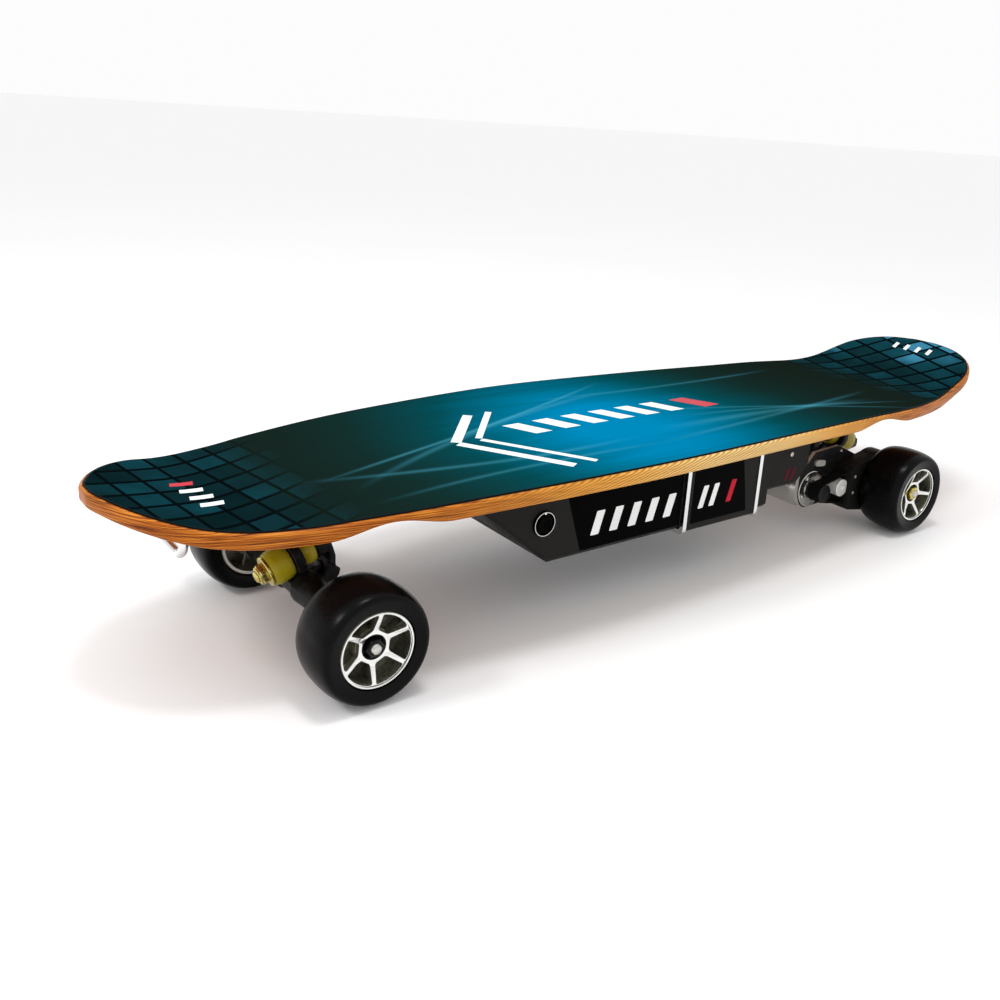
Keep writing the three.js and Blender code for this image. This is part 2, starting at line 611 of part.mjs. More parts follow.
const shell = cut(underDeck(cut(boxOuter, boxInner)), buttonHole, socketHole, wireHole);
group.add(mesh('battery_box', shell, MAT.plastic));

// band under the box and up both its sides
function band(x0, x1, thick) {
  const half = BOX.halfW + GAP;
  const low = BOX.bottom - GAP;
  const outer = prismX(chamfered(half + thick, low - thick, BOX.chamfer + 1), x0, x1);
  const hollow = prismX(chamfered(half, low, BOX.chamfer), x0 - 1, x1 + 1);
  return underDeck(cut(outer, hollow).intersect(box(x0, x1, -FAR, FAR, 0, ABOVE)));
}
group.add(mesh('box_strap', band(BAND[0], BAND[1], BAND_T), MAT.plastic));
group.add(mesh('front_trim', band(BAND[1] + GAP, BAND[1] + TRIM_W, TRIM_T), MAT.chrome));
group.add(mesh('rear_trim', band(BAND[0] - TRIM_W, BAND[0] - GAP, TRIM_T), MAT.chrome));

// shallower cover behind the box, over the motor controller
const coverSide = (inset) => {
  const joint = BOX.back - GAP - inset;
  const low = COVER.bottom + inset;
  return [[joint, ABOVE], [joint, low], [COVER.foot + inset, low],
    [COVER.back + inset, low + COVER.step], [COVER.back + inset, ABOVE]];
};
const coverOuter = prismY(coverSide(0), -COVER.halfW, COVER.halfW)
  .intersect(prismX(chamfered(COVER.halfW, COVER.bottom, BOX.chamfer), -FAR, 0));
const coverInner = prismY(coverSide(COVER.wall), -COVER.halfW + COVER.wall, COVER.halfW - COVER.wall);
group.add(mesh('controller_cover', cut(underDeck(cut(coverOuter, coverInner)), wireHole), MAT.plastic));

group.add(mesh('battery_pack', box(-19, 153, -84, 84, BOX.bottom + BOX.wall + 0.4, 120), MAT.wrap));

const HEATSINK = { x0: -161, x1: -109, finLow: 84, low: 91, top: 118 };
const FINS = 9;
const FIN_PITCH = 11;
const FIN_T = 4;
const fins = [];
for (let i = 0; i < FINS; i += 1) {
  const y = FIN_PITCH * i - 46;
  fins.push(box(HEATSINK.x0, HEATSINK.x1, y, y + FIN_T, HEATSINK.finLow, HEATSINK.low + 1));
}
const heatsink = box(HEATSINK.x0, HEATSINK.x1, -50, 50, HEATSINK.low, HEATSINK.top);
group.add(mesh('motor_controller', join(heatsink, ...fins), MAT.alloy));

// power button in its ring, pressed towards the middle of the board
const buttonDisc = turned([[0, 89], [7.6, 89], [7.6, 97], [6.4, 97.8], [0, 97.2]], 24);
const button = mesh('power_button', buttonDisc, MAT.indicator);
button.position.set(buttonX, 0, buttonZ);
const seatY = BOX.halfW + GAP;
const bezel = turned([[BUTTON_HOLE_R, seatY], [11, seatY], [11, seatY + 1.3], [10, seatY + 2.1],
  [BUTTON_HOLE_R, seatY + 2.1]], 26);
const ringMesh = mesh('button_ring', bezel, MAT.chrome);
ringMesh.position.set(buttonX, 0, buttonZ);
group.add(button, ringMesh);

// charging socket on the far side, with a flap over it
const SOCKET = { face: -98, flange: 9, body: 7, inner: -86.5 };
const socketBody = turned([[0, SOCKET.face], [SOCKET.flange, SOCKET.face], [SOCKET.flange, -seatY],
  [SOCKET.body, -seatY], [SOCKET.body, SOCKET.inner], [0, SOCKET.inner]], 20);
const jack = bar([0, SOCKET.face - 1, 0], [0, SOCKET.face + 8, 0], 1.9, 1.9, 16);
const socket = mesh('charge_socket', cut(socketBody, jack), MAT.plastic);
socket.position.set(socketX, 0, socketZ);
const flapBack = SOCKET.face - GAP;
const flapFace = SOCKET.face - 3;
const flap = join(bar([0, flapFace, 0], [0, flapBack, 0], 8.8, 9.6, 20), box(-4, 4, flapFace, flapBack, 0, 12));
const flapMesh = mesh('charge_cap', flap, MAT.rubber);
flapMesh.position.set(socketX, 0, socketZ);
group.add(socket, flapMesh);

// ---- carry handle under the nose ----
function handlePath() {
  const path = new THREE.CurvePath();
  const [half, low, top] = [HANDLE_HALF, HANDLE_LOW, 130];
  const at = (y, z) => new THREE.Vector3(HANDLE_X, y, z);
  const [bent, raised] = [half - HANDLE_BEND, low + HANDLE_BEND];
  path.add(new THREE.LineCurve3(at(-half, top), at(-half, raised)));
  path.add(new THREE.QuadraticBezierCurve3(at(-half, raised), at(-half, low), at(-bent, low)));
  path.add(new THREE.LineCurve3(at(-bent, low), at(bent, low)));
  path.add(new THREE.QuadraticBezierCurve3(at(bent, low), at(half, low), at(half, raised)));
  path.add(new THREE.LineCurve3(at(half, raised), at(half, top)));
  return path;
}
const rodShape = new THREE.Shape();
rodShape.absarc(0, 0, HANDLE_ROD_R, 0, Math.PI * 2);
const rod = toSolid(new THREE.ExtrudeGeometry(rodShape, {
  steps: 22,
  curveSegments: 5,
  bevelEnabled: false,
  extrudePath: handlePath(),
}));
const feet = [-1, 1].map((side) =>
  bar([HANDLE_X, side * HANDLE_HALF, 119], [HANDLE_X, side * HANDLE_HALF, 129], 9, 9, 16));
group.add(mesh('carry_handle', underDeck(join(rod, ...feet)), MAT.chrome));

group.traverse((node) => {
  node.updateMatrixWorld(true);
});

export default group;
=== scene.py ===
from math import acos, atan2, cos, degrees, hypot, pi, radians, sin, sqrt, tan

import bmesh
import bpy
from mathutils import Matrix, Vector


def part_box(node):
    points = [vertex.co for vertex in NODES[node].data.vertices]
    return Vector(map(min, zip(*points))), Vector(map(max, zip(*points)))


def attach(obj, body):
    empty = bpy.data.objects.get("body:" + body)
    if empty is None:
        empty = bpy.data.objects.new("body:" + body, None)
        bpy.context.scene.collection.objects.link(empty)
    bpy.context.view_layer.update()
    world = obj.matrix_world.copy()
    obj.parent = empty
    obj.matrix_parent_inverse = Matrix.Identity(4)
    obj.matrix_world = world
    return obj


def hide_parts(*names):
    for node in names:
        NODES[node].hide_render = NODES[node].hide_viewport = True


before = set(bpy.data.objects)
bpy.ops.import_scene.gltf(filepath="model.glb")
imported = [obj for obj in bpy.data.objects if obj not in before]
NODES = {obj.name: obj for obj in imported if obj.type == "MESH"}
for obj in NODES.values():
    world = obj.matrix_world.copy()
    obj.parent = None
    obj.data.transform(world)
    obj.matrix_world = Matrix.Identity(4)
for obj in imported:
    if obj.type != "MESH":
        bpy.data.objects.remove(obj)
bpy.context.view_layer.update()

# Shapes are in millimetres in the frame's own axes: +X nose, +Y board's left, +Z up.
MM = 0.001
ENDS = ("front", "rear")
SIDES = (("left", 1), ("right", -1))


# ---- measuring the frame ----
def corners(node):
    low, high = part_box(node)
    return low / MM, high / MM


def centre(node):
    low, high = corners(node)
    return (low + high) / 2


def halves(node):
    """Half of a node's size along X, Y and Z."""
    low, high = corners(node)
    return (high - low) / 2


def points(node):
    return [v.co / MM for v in NODES[node].data.vertices]


def reach(node, origin, direction):
    """Start, end and radius of a node measured along a line through origin."""
    steps = [(p - origin).dot(direction) for p in points(node)]
    radii = [((p - origin) - direction * s).length for p, s in zip(points(node), steps)]
    return min(steps), max(steps), max(radii)


# ---- placing ----
def link(name, data):
    made = bpy.data.objects.new(name, data)
    bpy.context.scene.collection.objects.link(made)
    return made


def shift(at):
    return Matrix.Translation(at)


def turned(angle, axis):
    return Matrix.Rotation(angle, 4, axis)


def facing(direction):
    """The turn that takes +Y to a direction."""
    return Vector((0, 1, 0)).rotation_difference(direction).to_matrix().to_4x4()


def standing(node):
    """Radius and length of a node that is round about Y, and the place of its axis at its lower end."""
    low, middle, size = corners(node)[0], centre(node), halves(node)
    return size.z, 2 * size.y, shift((middle.x, low.y, middle.z))


# ---- materials ----
class Nodes:
    """Adds shader nodes to one material and joins them up."""

    def __init__(self, name):
        self.material = bpy.data.materials.new(name)
        self.material.use_nodes = True
        self.tree = self.material.node_tree
        self.shader = self.tree.nodes["Principled BSDF"]
        self.place = self.tree.nodes.new("ShaderNodeTexCoord").outputs["Object"]

    def node(self, kind, inputs=None, **settings):
        made = self.tree.nodes.new("ShaderNode" + kind)
        for key, value in settings.items():
            setattr(made, key, value)
        for key, value in (inputs or {}).items():
            self.give(made.inputs[key], value)
        return made

    def give(self, socket, value):
        if isinstance(value, bpy.types.NodeSocket):
            self.tree.links.new(value, socket)
        elif isinstance(value, tuple) and len(value) == 3 and socket.type == "RGBA":
            socket.default_value = (*value, 1.0)
        else:
            socket.default_value = value

    def math(self, operation, a, b=0.0, c=0.0):
        return self.node("Math", {0: a, 1: b, 2: c}, operation=operation).outputs[0]

    def plus(self, a, b):
        return self.math("ADD", a, b)

    def minus(self, a, b):
        return self.math("SUBTRACT", a, b)

    def times(self, a, b):
        return self.math("MULTIPLY", a, b)

    def scaled(self, a, factor, offset):
        return self.math("MULTIPLY_ADD", a, factor, offset)

    def size(self, a):
        return self.math("ABSOLUTE", a)

    def mix(self, amount, a, b, blend="MIX"):
        made = self.node("Mix", data_type="RGBA", blend_type=blend)
        self.give(made.inputs[0], amount)
        self.give(made.inputs[6], a)
        self.give(made.inputs[7], b)
        return made.outputs[2]

    def step(self, value, low, high):
        """0 below low, 1 above high, smooth between."""
        made = self.node("MapRange", interpolation_type="SMOOTHSTEP")
        for key, item in zip((0, 1, 2), (value, low, high)):
            self.give(made.inputs[key], item)
        return made.outputs[0]

    def ramp(self, value, stops):
        made = self.node("ValToRGB", {0: value})
        ramp = made.color_ramp
        while len(ramp.elements) < len(stops):
            ramp.elements.new(0.5)
        for element, (at, color) in zip(ramp.elements, stops):
            element.position = at
            element.color = (*color, 1.0)
        return made.outputs[0]

    def axes(self):
        """X, Y and Z of the place, in millimetres."""
        parts = self.node("SeparateXYZ", {0: self.place})
        return [self.times(parts.outputs[i], 1 / MM) for i in range(3)]

    def noise(self, scale, detail=3.0, vector=None):
        sockets = {"Scale": scale, "Detail": detail, "Roughness": 0.55, "Vector": vector or self.place}
        return self.node("TexNoise", sockets).outputs[0]

    def stretched(self, x, y, z):
        return self.node("Mapping", {"Vector": self.place, "Scale": (x, y, z)}).outputs[0]

    def bump(self, height, strength, distance=0.0005):
        made = self.node("Bump", {"Height": height, "Strength": strength, "Distance": distance})
        self.give(self.shader.inputs["Normal"], made.outputs[0])
        return self.material

    def set(self, **values):
        for key, value in values.items():
            self.give(self.shader.inputs[key.replace("_", " ")], value)


def shade(color, factor):
    return tuple(min(c * factor, 1.0) for c in color)


def finish(name, color, rough, metal=0.0, spread=0.25, grain=900.0, relief=0.08, specular=0.5):
    """A surface with slow patches and fine grain in its colour, gloss and height."""
    n = Nodes(name)
    patches = n.noise(28.0, 4.0)
    fine = n.noise(grain, 2.0)
    both = n.plus(n.times(patches, 0.6), n.times(fine, 0.4))
    tone = n.mix(n.step(both, 0.32, 0.68), shade(color, 1 - spread), shade(color, 1 + spread))
    n.set(Base_Color=tone, Metallic=metal)
    gloss = n.scaled(n.step(both, 0.3, 0.7), rough * 0.5, rough * 0.75)
    n.set(Roughness=gloss, Specular_IOR_Level=specular)
    return n.bump(fine, relief)


def cast_paint():
    """Black gloss paint on rough cast metal, thin along edges, where a lighter bare-metal colour is partly
    edge wear and partly a painted highlight.
    """
    n = Nodes("cast_black")
    cast = n.noise(260.0, 4.0)
    worn = n.noise(70.0, 5.0)
    edge = n.node("NewGeometry").outputs["Pointiness"]
    # Lighter metal colour on sharp convex edges: partly edge wear, partly a painted highlight.
    worn_and_highlit_edge = n.times(n.step(edge, 0.53, 0.6), n.step(worn, 0.45, 0.62))
    tone = n.mix(n.step(cast, 0.3, 0.7), (0.003, 0.003, 0.0035), (0.011, 0.0105, 0.0105))
    n.set(Base_Color=n.mix(n.times(worn_and_highlit_edge, 0.55), tone, (0.2, 0.19, 0.17)))
    n.set(Roughness=n.scaled(worn, 0.25, 0.22), Specular_IOR_Level=0.1)
    n.set(Metallic=n.times(worn_and_highlit_edge, 0.8))
    return n.bump(cast, 0.22, 0.0004)


def brushed(name, color, rough, stretch, spread=0.2):
    """Metal brushed in one direction; stretch is the grain's scale along X, Y and Z."""
    n = Nodes(name)
    hair = n.noise(1.0, 3.0, n.stretched(*stretch))
    patches = n.noise(35.0, 4.0)
    n.set(Base_Color=n.mix(hair, shade(color, 1 - spread), color), Metallic=1.0)
    n.set(Roughness=n.scaled(patches, rough * 0.8, rough * 0.6))
    return n.bump(hair, 0.1, 0.0002)


# Plies across the deck's edge, and the stain that darkens the wood towards both ends.
PLIES = 7
STAIN_MIDDLE = -25.0
STAIN_FROM = 60.0
STAIN_TO = 330.0
# Fine slanted figure on the edge: its shift over the thickness, and its pitch along X.
HATCH_LEAN = 46.0
HATCH_PITCH = 8.6


def maple(face_grain):
    """Clear-coated plywood: the edge shows its plies, the underside its face grain."""
    n = Nodes("maple_face" if face_grain else "maple_edge")
    x = n.axes()[0]
    uv = n.node("TexCoord").outputs["UV"]
    across = n.node("SeparateXYZ", {0: uv}).outputs[1]
    length = n.size(n.minus(x, STAIN_MIDDLE))
    stain = n.step(length, STAIN_FROM, STAIN_TO)
    blotch = n.noise(11.0, 4.0)
    stain = n.times(stain, n.scaled(blotch, 0.5, 0.72))
    if face_grain:
        hair = n.noise(1.0, 5.0, n.stretched(14.0, 420.0, 60.0))
        figure = n.noise(1.0, 3.0, n.stretched(5.0, 55.0, 20.0))
        pattern = n.plus(n.times(hair, 0.55), n.times(figure, 0.45))
        pale = n.ramp(pattern, [(0.3, (0.46, 0.25, 0.085)), (0.5, (0.62, 0.37, 0.14)),
                                (0.7, (0.74, 0.5, 0.23))])
    else:
        layer = n.times(across, float(PLIES))
        slant = n.scaled(across, HATCH_LEAN, x)
        wander = n.times(n.noise(70.0, 3.0), 7.0)
        turns = n.scaled(slant, 2 * pi / HATCH_PITCH, wander)
        hatch = n.scaled(n.math("SINE", turns), 0.5, 0.5)
        streaks = n.noise(1.0, 4.0, n.stretched(26.0, 26.0, 1500.0))
        tone = n.scaled(hatch, 0.5, n.times(streaks, 0.55))
        pale = n.ramp(tone, [(0.22, (0.42, 0.2, 0.04)), (0.5, (0.66, 0.39, 0.115)),
                             (0.76, (0.82, 0.62, 0.29))])
        glue = n.math("FRACT", n.plus(layer, 0.5))
        line = n.minus(1.0, n.step(n.size(n.minus(glue, 0.5)), 0.0, 0.1))
        pale = n.mix(n.times(line, 0.3), pale, (0.3, 0.12, 0.02))
        golden = n.mix(1.0, pale, (1.0, 0.7, 0.2), "MULTIPLY")
        pale = n.mix(n.times(n.step(length, 20.0, STAIN_FROM * 3), 0.85), pale, golden)
        stained = n.ramp(n.scaled(line, -0.16, streaks),
                         [(0.34, (0.1, 0.018, 0.002)), (0.5, (0.38, 0.095, 0.006)),
                          (0.66, (0.64, 0.225, 0.022))])
    if face_grain:
        red = n.mix(0.9, pale, (0.66, 0.25, 0.07), "MULTIPLY")
        stained = n.mix(0.55, red, (0.36, 0.1, 0.012))
    n.set(Base_Color=n.mix(stain, pale, stained), Roughness=n.scaled(blotch, 0.2, 0.3))
    n.set(Coat_Weight=0.06, Coat_Roughness=0.15, Specular_IOR_Level=0.1)
    return n.bump(n.noise(1.0, 3.0, n.stretched(30.0, 300.0, 900.0)), 0.1, 0.0003)


# Light trails over the print: y at x = 0, slope, curve, half width, strength, and x where each end fades out.
TRAILS = (
    (-78.0, 0.43, -0.00035, 2.2, 0.55, -60.0, 350.0),
    (-60.0, 0.20, 0.00050, 3.6, 0.35, -40.0, 330.0),
    (60.0, 0.16, -0.00080, 3.0, 0.40, 40.0, 360.0),
    (92.0, -0.10, 0.00025, 2.4, 0.35, 20.0, 330.0),
    (30.0, -0.09, 0.00030, 2.6, 0.30, -340.0, -10.0),
    (58.0, 0.02, 0.00020, 5.0, 0.34, -300.0, 30.0),
    (84.0, 0.10, -0.00010, 3.0, 0.30, -330.0, 60.0),
    (2.0, -0.22, 0.00045, 2.4, 0.30, -330.0, 40.0),
    (-62.0, -0.05, -0.00030, 2.8, 0.30, -300.0, 80.0),
)
TRAIL_FADE = 110.0
# The glow's middle and its reach along and across the deck.
GLOW_X = 40.0
GLOW_Y = 40.0
GLOW_LENGTH = 168.0
GLOW_WIDTH = 210.0
# The lattice's two sets of bars: angle from the long axis and pitch at the nose, then the same at the tail.
GRID_BARS = ((82.0, 26.0, 107.0, 26.0), (-20.0, 25.0, 30.0, 25.0))
GRID_FROM = 325.0
GRID_FULL = 400.0


def print_sheet():
    """Blue glow with light trails in the middle, and a dark lattice over teal cells at both ends."""
    n = Nodes("printed_glow")
    x, y, _ = n.axes()

    def bell(value, middle, width):
        off = n.math("DIVIDE", n.minus(value, middle), width)
        return n.math("EXPONENT", n.times(n.times(off, off), -1.0))

    glow = n.times(bell(x, GLOW_X, GLOW_LENGTH), bell(y, GLOW_Y, GLOW_WIDTH))
    haze = n.noise(1.0, 4.0, n.stretched(4.0, 26.0, 1.0))
    rays = n.noise(1.0, 3.0, n.stretched(3.0, 120.0, 1.0))
    wave = n.plus(n.times(haze, 0.55), n.times(rays, 0.3))
    glow = n.times(glow, n.plus(wave, 0.6))
    base = n.ramp(glow, [(0.0, (0.0065, 0.0115, 0.0085)), (0.14, (0.0045, 0.021, 0.019)),
                         (0.4, (0.001, 0.052, 0.064)), (0.72, (0.0, 0.122, 0.205)),
                         (1.0, (0.0, 0.185, 0.37))])
    light = 0.0
    for start, slope, curve, width, strength, fade_low, fade_high in TRAILS:
        path = n.scaled(n.scaled(x, curve, slope), x, start)
        line = bell(n.minus(y, path), 0.0, width)
        ends = n.times(n.step(x, fade_low, fade_low + TRAIL_FADE),
                       n.minus(1.0, n.step(x, fade_high - TRAIL_FADE, fade_high)))
        light = n.plus(light, n.times(n.times(line, ends), strength))
    base = n.mix(n.times(light, 0.5), base, (0.08, 0.42, 0.56))

    end = n.step(n.size(x), GRID_FROM, GRID_FULL)
    nose = n.step(x, -1.0, 1.0)
    diagonals = []
    for nose_angle, nose_pitch, tail_angle, tail_pitch in GRID_BARS:
        a, b = radians(nose_angle), radians(tail_angle)
        at_nose = (sin(a) / nose_pitch, cos(a) / nose_pitch)
        at_tail = (sin(b) / tail_pitch, cos(b) / tail_pitch)
        along, across = (n.scaled(nose, p - q, q) for p, q in zip(at_nose, at_tail))
        diagonals.append(n.scaled(x, along, n.times(y, across)))
    cell = n.node("CombineXYZ", {0: n.math("FLOOR", diagonals[0]), 1: n.math("FLOOR", diagonals[1])})
    chance = n.node("TexWhiteNoise", {"Vector": cell.outputs[0]}).outputs["Value"]
    shade = n.noise(22.0, 3.0)
    tail = n.step(n.times(x, -1.0), 380.0, 480.0)
    level = n.scaled(chance, 0.45, n.times(shade, 0.45))
    level = n.scaled(tail, 0.36, level)
    tile = n.ramp(level, [(0.15, (0.0015, 0.008, 0.009)), (0.45, (0.003, 0.02, 0.025)),
                          (0.7, (0.004, 0.048, 0.065)), (0.95, (0.04, 0.2, 0.32))])
    gaps = [n.size(n.minus(n.math("FRACT", d), 0.5)) for d in diagonals]
    bars = n.step(n.math("MAXIMUM", n.minus(gaps[0], 0.015), gaps[1]), 0.405, 0.435)
    lattice = n.mix(bars, tile, (0.001, 0.0025, 0.0035))
    color = n.mix(n.times(end, 0.92), base, lattice)
    n.set(Base_Color=color, Roughness=n.scaled(n.noise(60.0, 3.0), 0.12, 0.34))
    n.set(Specular_IOR_Level=0.0)
    return n.bump(n.noise(1500.0, 2.0), 0.05, 0.0002)


def soft_plastic(name, color, rough, subsurface):
    n = Nodes(name)
    cloud = n.noise(90.0, 4.0)
    n.set(Base_Color=n.mix(cloud, shade(color, 0.8), color))
    n.set(Roughness=n.scaled(cloud, 0.2, rough), Subsurface_Weight=subsurface)
    n.set(Subsurface_Scale=0.004, Specular_IOR_Level=0.25)
    return n.bump(n.noise(500.0, 2.0), 0.08)


def materials():
    return {
        "edge": maple(False),
        "face": maple(True),
        "print": print_sheet(),
        "border": finish("print_border", (0.004, 0.006, 0.007), 0.45, specular=0.02),
        "white": finish("print_white", (0.82, 0.84, 0.84), 0.35, spread=0.06),
        "red": finish("print_red", (0.5, 0.004, 0.022), 0.35, spread=0.15, specular=0.1),
        "dim_red": finish("print_dim_red", (0.085, 0.004, 0.012), 0.45, specular=0.05),
        "cast": cast_paint(),
        "plastic": finish("box_plastic", (0.0095, 0.009, 0.0082), 0.5, 0.0, 0.25, 2200.0, 0.22, 0.09),
        "label": finish("label_gloss", (0.0007, 0.0007, 0.0008), 0.16, relief=0.02, specular=0.012),
        "tyre": finish("tyre_urethane", (0.0022, 0.0022, 0.0023), 0.24, 0.0, 0.25, 1400.0, 0.06, 0.075),
        "rubber": finish("rubber", (0.005, 0.005, 0.005), 0.7, grain=1200.0, relief=0.3, specular=0.05),
        "pocket": finish("hub_cast", (0.17, 0.165, 0.125), 0.4, 0.6, 0.7, 420.0, 0.35),
        "machined": brushed("hub_machined", (0.86, 0.86, 0.84), 0.2, (240.0, 30.0, 240.0), 0.12),
        "bright": finish("turned_bright", (0.84, 0.83, 0.8), 0.32, 0.3, 0.1, relief=0.05),
        "alloy": finish("plate_alloy", (0.62, 0.6, 0.56), 0.3, 0.5, 0.15, 1500.0, 0.1),
        "steel": brushed("bright_steel", (0.62, 0.61, 0.58), 0.25, (500.0, 500.0, 500.0)),
        "chrome": finish("chrome", (0.74, 0.745, 0.75), 0.08, 1.0, 0.05, relief=0.02),
        "zinc": finish("zinc_plate", (0.66, 0.55, 0.17), 0.3, 1.0, 0.18, relief=0.1),
        "urethane": soft_plastic("bushing_urethane", (0.44, 0.36, 0.012), 0.2, 0.2),
        "wrap": finish("cell_wrap", (0.03, 0.1, 0.22), 0.35, grain=300.0, relief=0.1),
        "dark_steel": finish("dark_steel", (0.02, 0.02, 0.021), 0.3, 0.8, relief=0.1, specular=0.15),
    }


MAT = materials()


# ---- building meshes ----
class Shape:
    """Closed shells gathered in millimetres, each with the number of its material."""

    def __init__(self):
        self.verts = []
        self.faces = []
        self.marks = []

    def add(self, verts, faces, mark=0, place=None):
        start = len(self.verts)
        moved = [Vector(v) for v in verts]
        self.verts += [place @ v for v in moved] if place else moved
        self.faces += [[start + i for i in face] for face in faces]
        self.marks += [mark] * len(faces)
        return self

    def skin(self, rings, mark_at):
        """Faces between neighbouring rings; mark_at gives the material's number from a place in the ring."""
        size = len(rings[0])
        self.verts += [Vector(v) for ring in rings for v in ring]
        for a in range(0, (len(rings) - 1) * size, size):
            for j in range(size):
                k = (j + 1) % size
                self.faces.append([a + j, a + k, a + size + k, a + size + j])
                self.marks.append(mark_at(j))
        return self

    def loft(self, rings, mark=0, closed=False, place=None):
        """A skin over rings of equal length; closed joins the last to the first, or else both are capped."""
        size = len(rings[0])
        count = len(rings)
        faces = []
        for i in range(count if closed else count - 1):
            a, b = i * size, ((i + 1) % count) * size
            faces += [[a + j, a + (j + 1) % size, b + (j + 1) % size, b + j] for j in range(size)]
        if not closed:
            faces += [list(range(size))[::-1], [(count - 1) * size + j for j in range(size)]]
        return self.add([v for ring in rings for v in ring], faces, mark, place)

    def turn(self, profile, mark=0, place=None, sides=96):
        """A solid of revolution about Y through (radius, y) pairs, from axis to axis or round in a loop."""
        rings = [[(x, y, z) for x, z in circle(radius, sides)] for radius, y in profile]
        return self.loft(rings, mark, profile[0][0] > 0, place)

    def slab(self, outline, y0, y1, mark=0, place=None):
        """An outline in X and Z, from y0 to y1."""
        return self.loft([[(x, y, z) for x, z in outline] for y in (y0, y1)], mark, False, place)

    def slabs_round(self, count, outline, y0, y1, mark, place):
        """The same slab a number of times, evenly round Y."""
        for k in range(count):
            self.slab(outline, y0, y1, mark, place @ turned(2 * pi * k / count, "Y"))

    def plate(self, outlines, y0, y1, bevel, level, mark, place=None, warp=None):
        """A plate with holes; its faces above a level get a mark, and warp may lower its points."""
        verts, faces = plate_with_holes(outlines, y0, y1, bevel)
        marks = [mark if min(verts[i][1] for i in face) > level else 0 for face in faces]
        self.add([warp(*v) for v in verts] if warp else verts, faces, 0, place)
        self.marks[-len(faces):] = marks
        return self

    def sweep(self, path, section):
        """A section of (side, up) pairs carried along a path that stays in one plane across X."""
        rings = []
        for i, p in enumerate(path):
            before = Vector(path[max(i - 1, 0)])
            after = Vector(path[min(i + 1, len(path) - 1)])
            out = (after - before).normalized().cross(Vector((1, 0, 0)))
            rings.append([Vector(p) + Vector((side, 0, 0)) + out * up for side, up in section])
        return self.loft(rings)


def circle(radius, sides=24):
    angles = [2 * pi * i / sides for i in range(sides)]
    return [(radius * cos(a), radius * sin(a)) for a in angles]


def both_ends(profile):
    """A profile and its mirror image, for a piece that is the same at both ends."""
    return profile + [(r, -y) for r, y in reversed(profile)]


def ring_at(middle, radius, sides):
    return [(middle.x + x, middle.z + z) for x, z in circle(radius, sides)]


def rounded(corner_points, radii, steps=5):
    """A closed outline with its corners rounded by the given radius, or radii."""
    out = []
    count = len(corner_points)
    for i in range(count):
        p = Vector(corner_points[i])
        before = Vector(corner_points[i - 1]) - p
        after = Vector(corner_points[(i + 1) % count]) - p
        radius = radii[i] if isinstance(radii, (list, tuple)) else radii
        back = radius / tan(before.angle(after) / 2)
        back = min(back, before.length * 0.48, after.length * 0.48)
        a, b = p + before.normalized() * back, p + after.normalized() * back
        for k in range(steps + 1):
            t = k / steps
            out.append(tuple(a * (1 - t) ** 2 + p * 2 * t * (1 - t) + b * t * t))
    return out


def wedge(foot_half, foot, head_half, head, radius, steps):
    """A rounded trapezium in X and Z, from foot to head."""
    outline = [(-foot_half, foot), (foot_half, foot), (head_half, head), (-head_half, head)]
    return rounded(outline, radius, steps)


def plate_with_holes(outlines, y0, y1, bevel):
    """Vertices and faces of a flat plate in X and Z with bevelled edges; later outlines are holes."""
    curve = bpy.data.curves.new("outline", "CURVE")
    curve.dimensions = "2D"
    curve.fill_mode = "BOTH"
    curve.extrude = (y1 - y0) / 2 - bevel
    curve.bevel_depth = bevel
    curve.bevel_resolution = 1
    curve.offset = -bevel
    for outline in outlines:
        spline = curve.splines.new("POLY")
        spline.points.add(len(outline) - 1)
        spline.use_cyclic_u = True
        for point, (x, z) in zip(spline.points, outline):
            point.co = (x, z, 0, 1)
    holder = bpy.data.objects.new("outline", curve)
    mesh = bpy.data.meshes.new_from_object(holder)
    verts = [(v.co.x, (y0 + y1) / 2 + v.co.z, v.co.y) for v in mesh.vertices]
    faces = [list(p.vertices) for p in mesh.polygons]
    bpy.data.objects.remove(holder)
    bpy.data.curves.remove(curve)
    bpy.data.meshes.remove(mesh)
    return verts, faces


def make(name, shape, body, looks, replaces=None, bevel=0.0, sharp=38, uv=None, weld=0.002):
    """One object from a shape, riding on a body. looks holds one name or a tuple in the order of the shape's
    marks, and uv gives a place on the ply from a vertex."""
    built = bmesh.new()
    verts = [built.verts.new(v * MM) for v in shape.verts]
    for face, mark in zip(shape.faces, shape.marks):
        try:
            built.faces.new([verts[i] for i in face]).material_index = mark
        except ValueError:
            continue
    bmesh.ops.remove_doubles(built, verts=built.verts, dist=weld * MM)
    bmesh.ops.dissolve_degenerate(built, edges=built.edges, dist=weld * MM)
    bmesh.ops.recalc_face_normals(built, faces=built.faces)
    if uv:
        layer = built.loops.layers.uv.new("UVMap")
        for face in built.faces:
            for loop in face.loops:
                loop[layer].uv = uv(loop.vert.co / MM)
    mesh = bpy.data.meshes.new(name)
    built.to_mesh(mesh)
    built.free()
    for look in [looks] if isinstance(looks, str) else looks:
        mesh.materials.append(MAT[look])
    mesh.shade_smooth()
    mesh.set_sharp_from_angle(angle=radians(sharp))
    made = link(name, mesh)
    if bevel:
        soften(made, bevel)
    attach(made, body)
    if replaces:
        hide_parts(replaces)


def soften(made, width, segments=3):
    edge = made.modifiers.new("edges", "BEVEL")
    edge.width = width * MM
    edge.segments = segments
    edge.limit_method = "ANGLE"
    edge.angle_limit = radians(35)
    edge.harden_normals = True


def keep(node, look, cast=0.0):
    """Shows a CAD node with a new look; cast is the voxel size that rounds it like a casting."""
    shown = NODES[node]
    shown.data.materials.clear()
    shown.data.materials.append(MAT[look])
    if cast:
        remesh = shown.modifiers.new("cast", "REMESH")
        remesh.mode = "VOXEL"
        remesh.voxel_size = cast * MM
        remesh.use_smooth_shade = True
        smooth = shown.modifiers.new("smooth", "SMOOTH")
        smooth.factor = 0.5
        smooth.iterations = 6


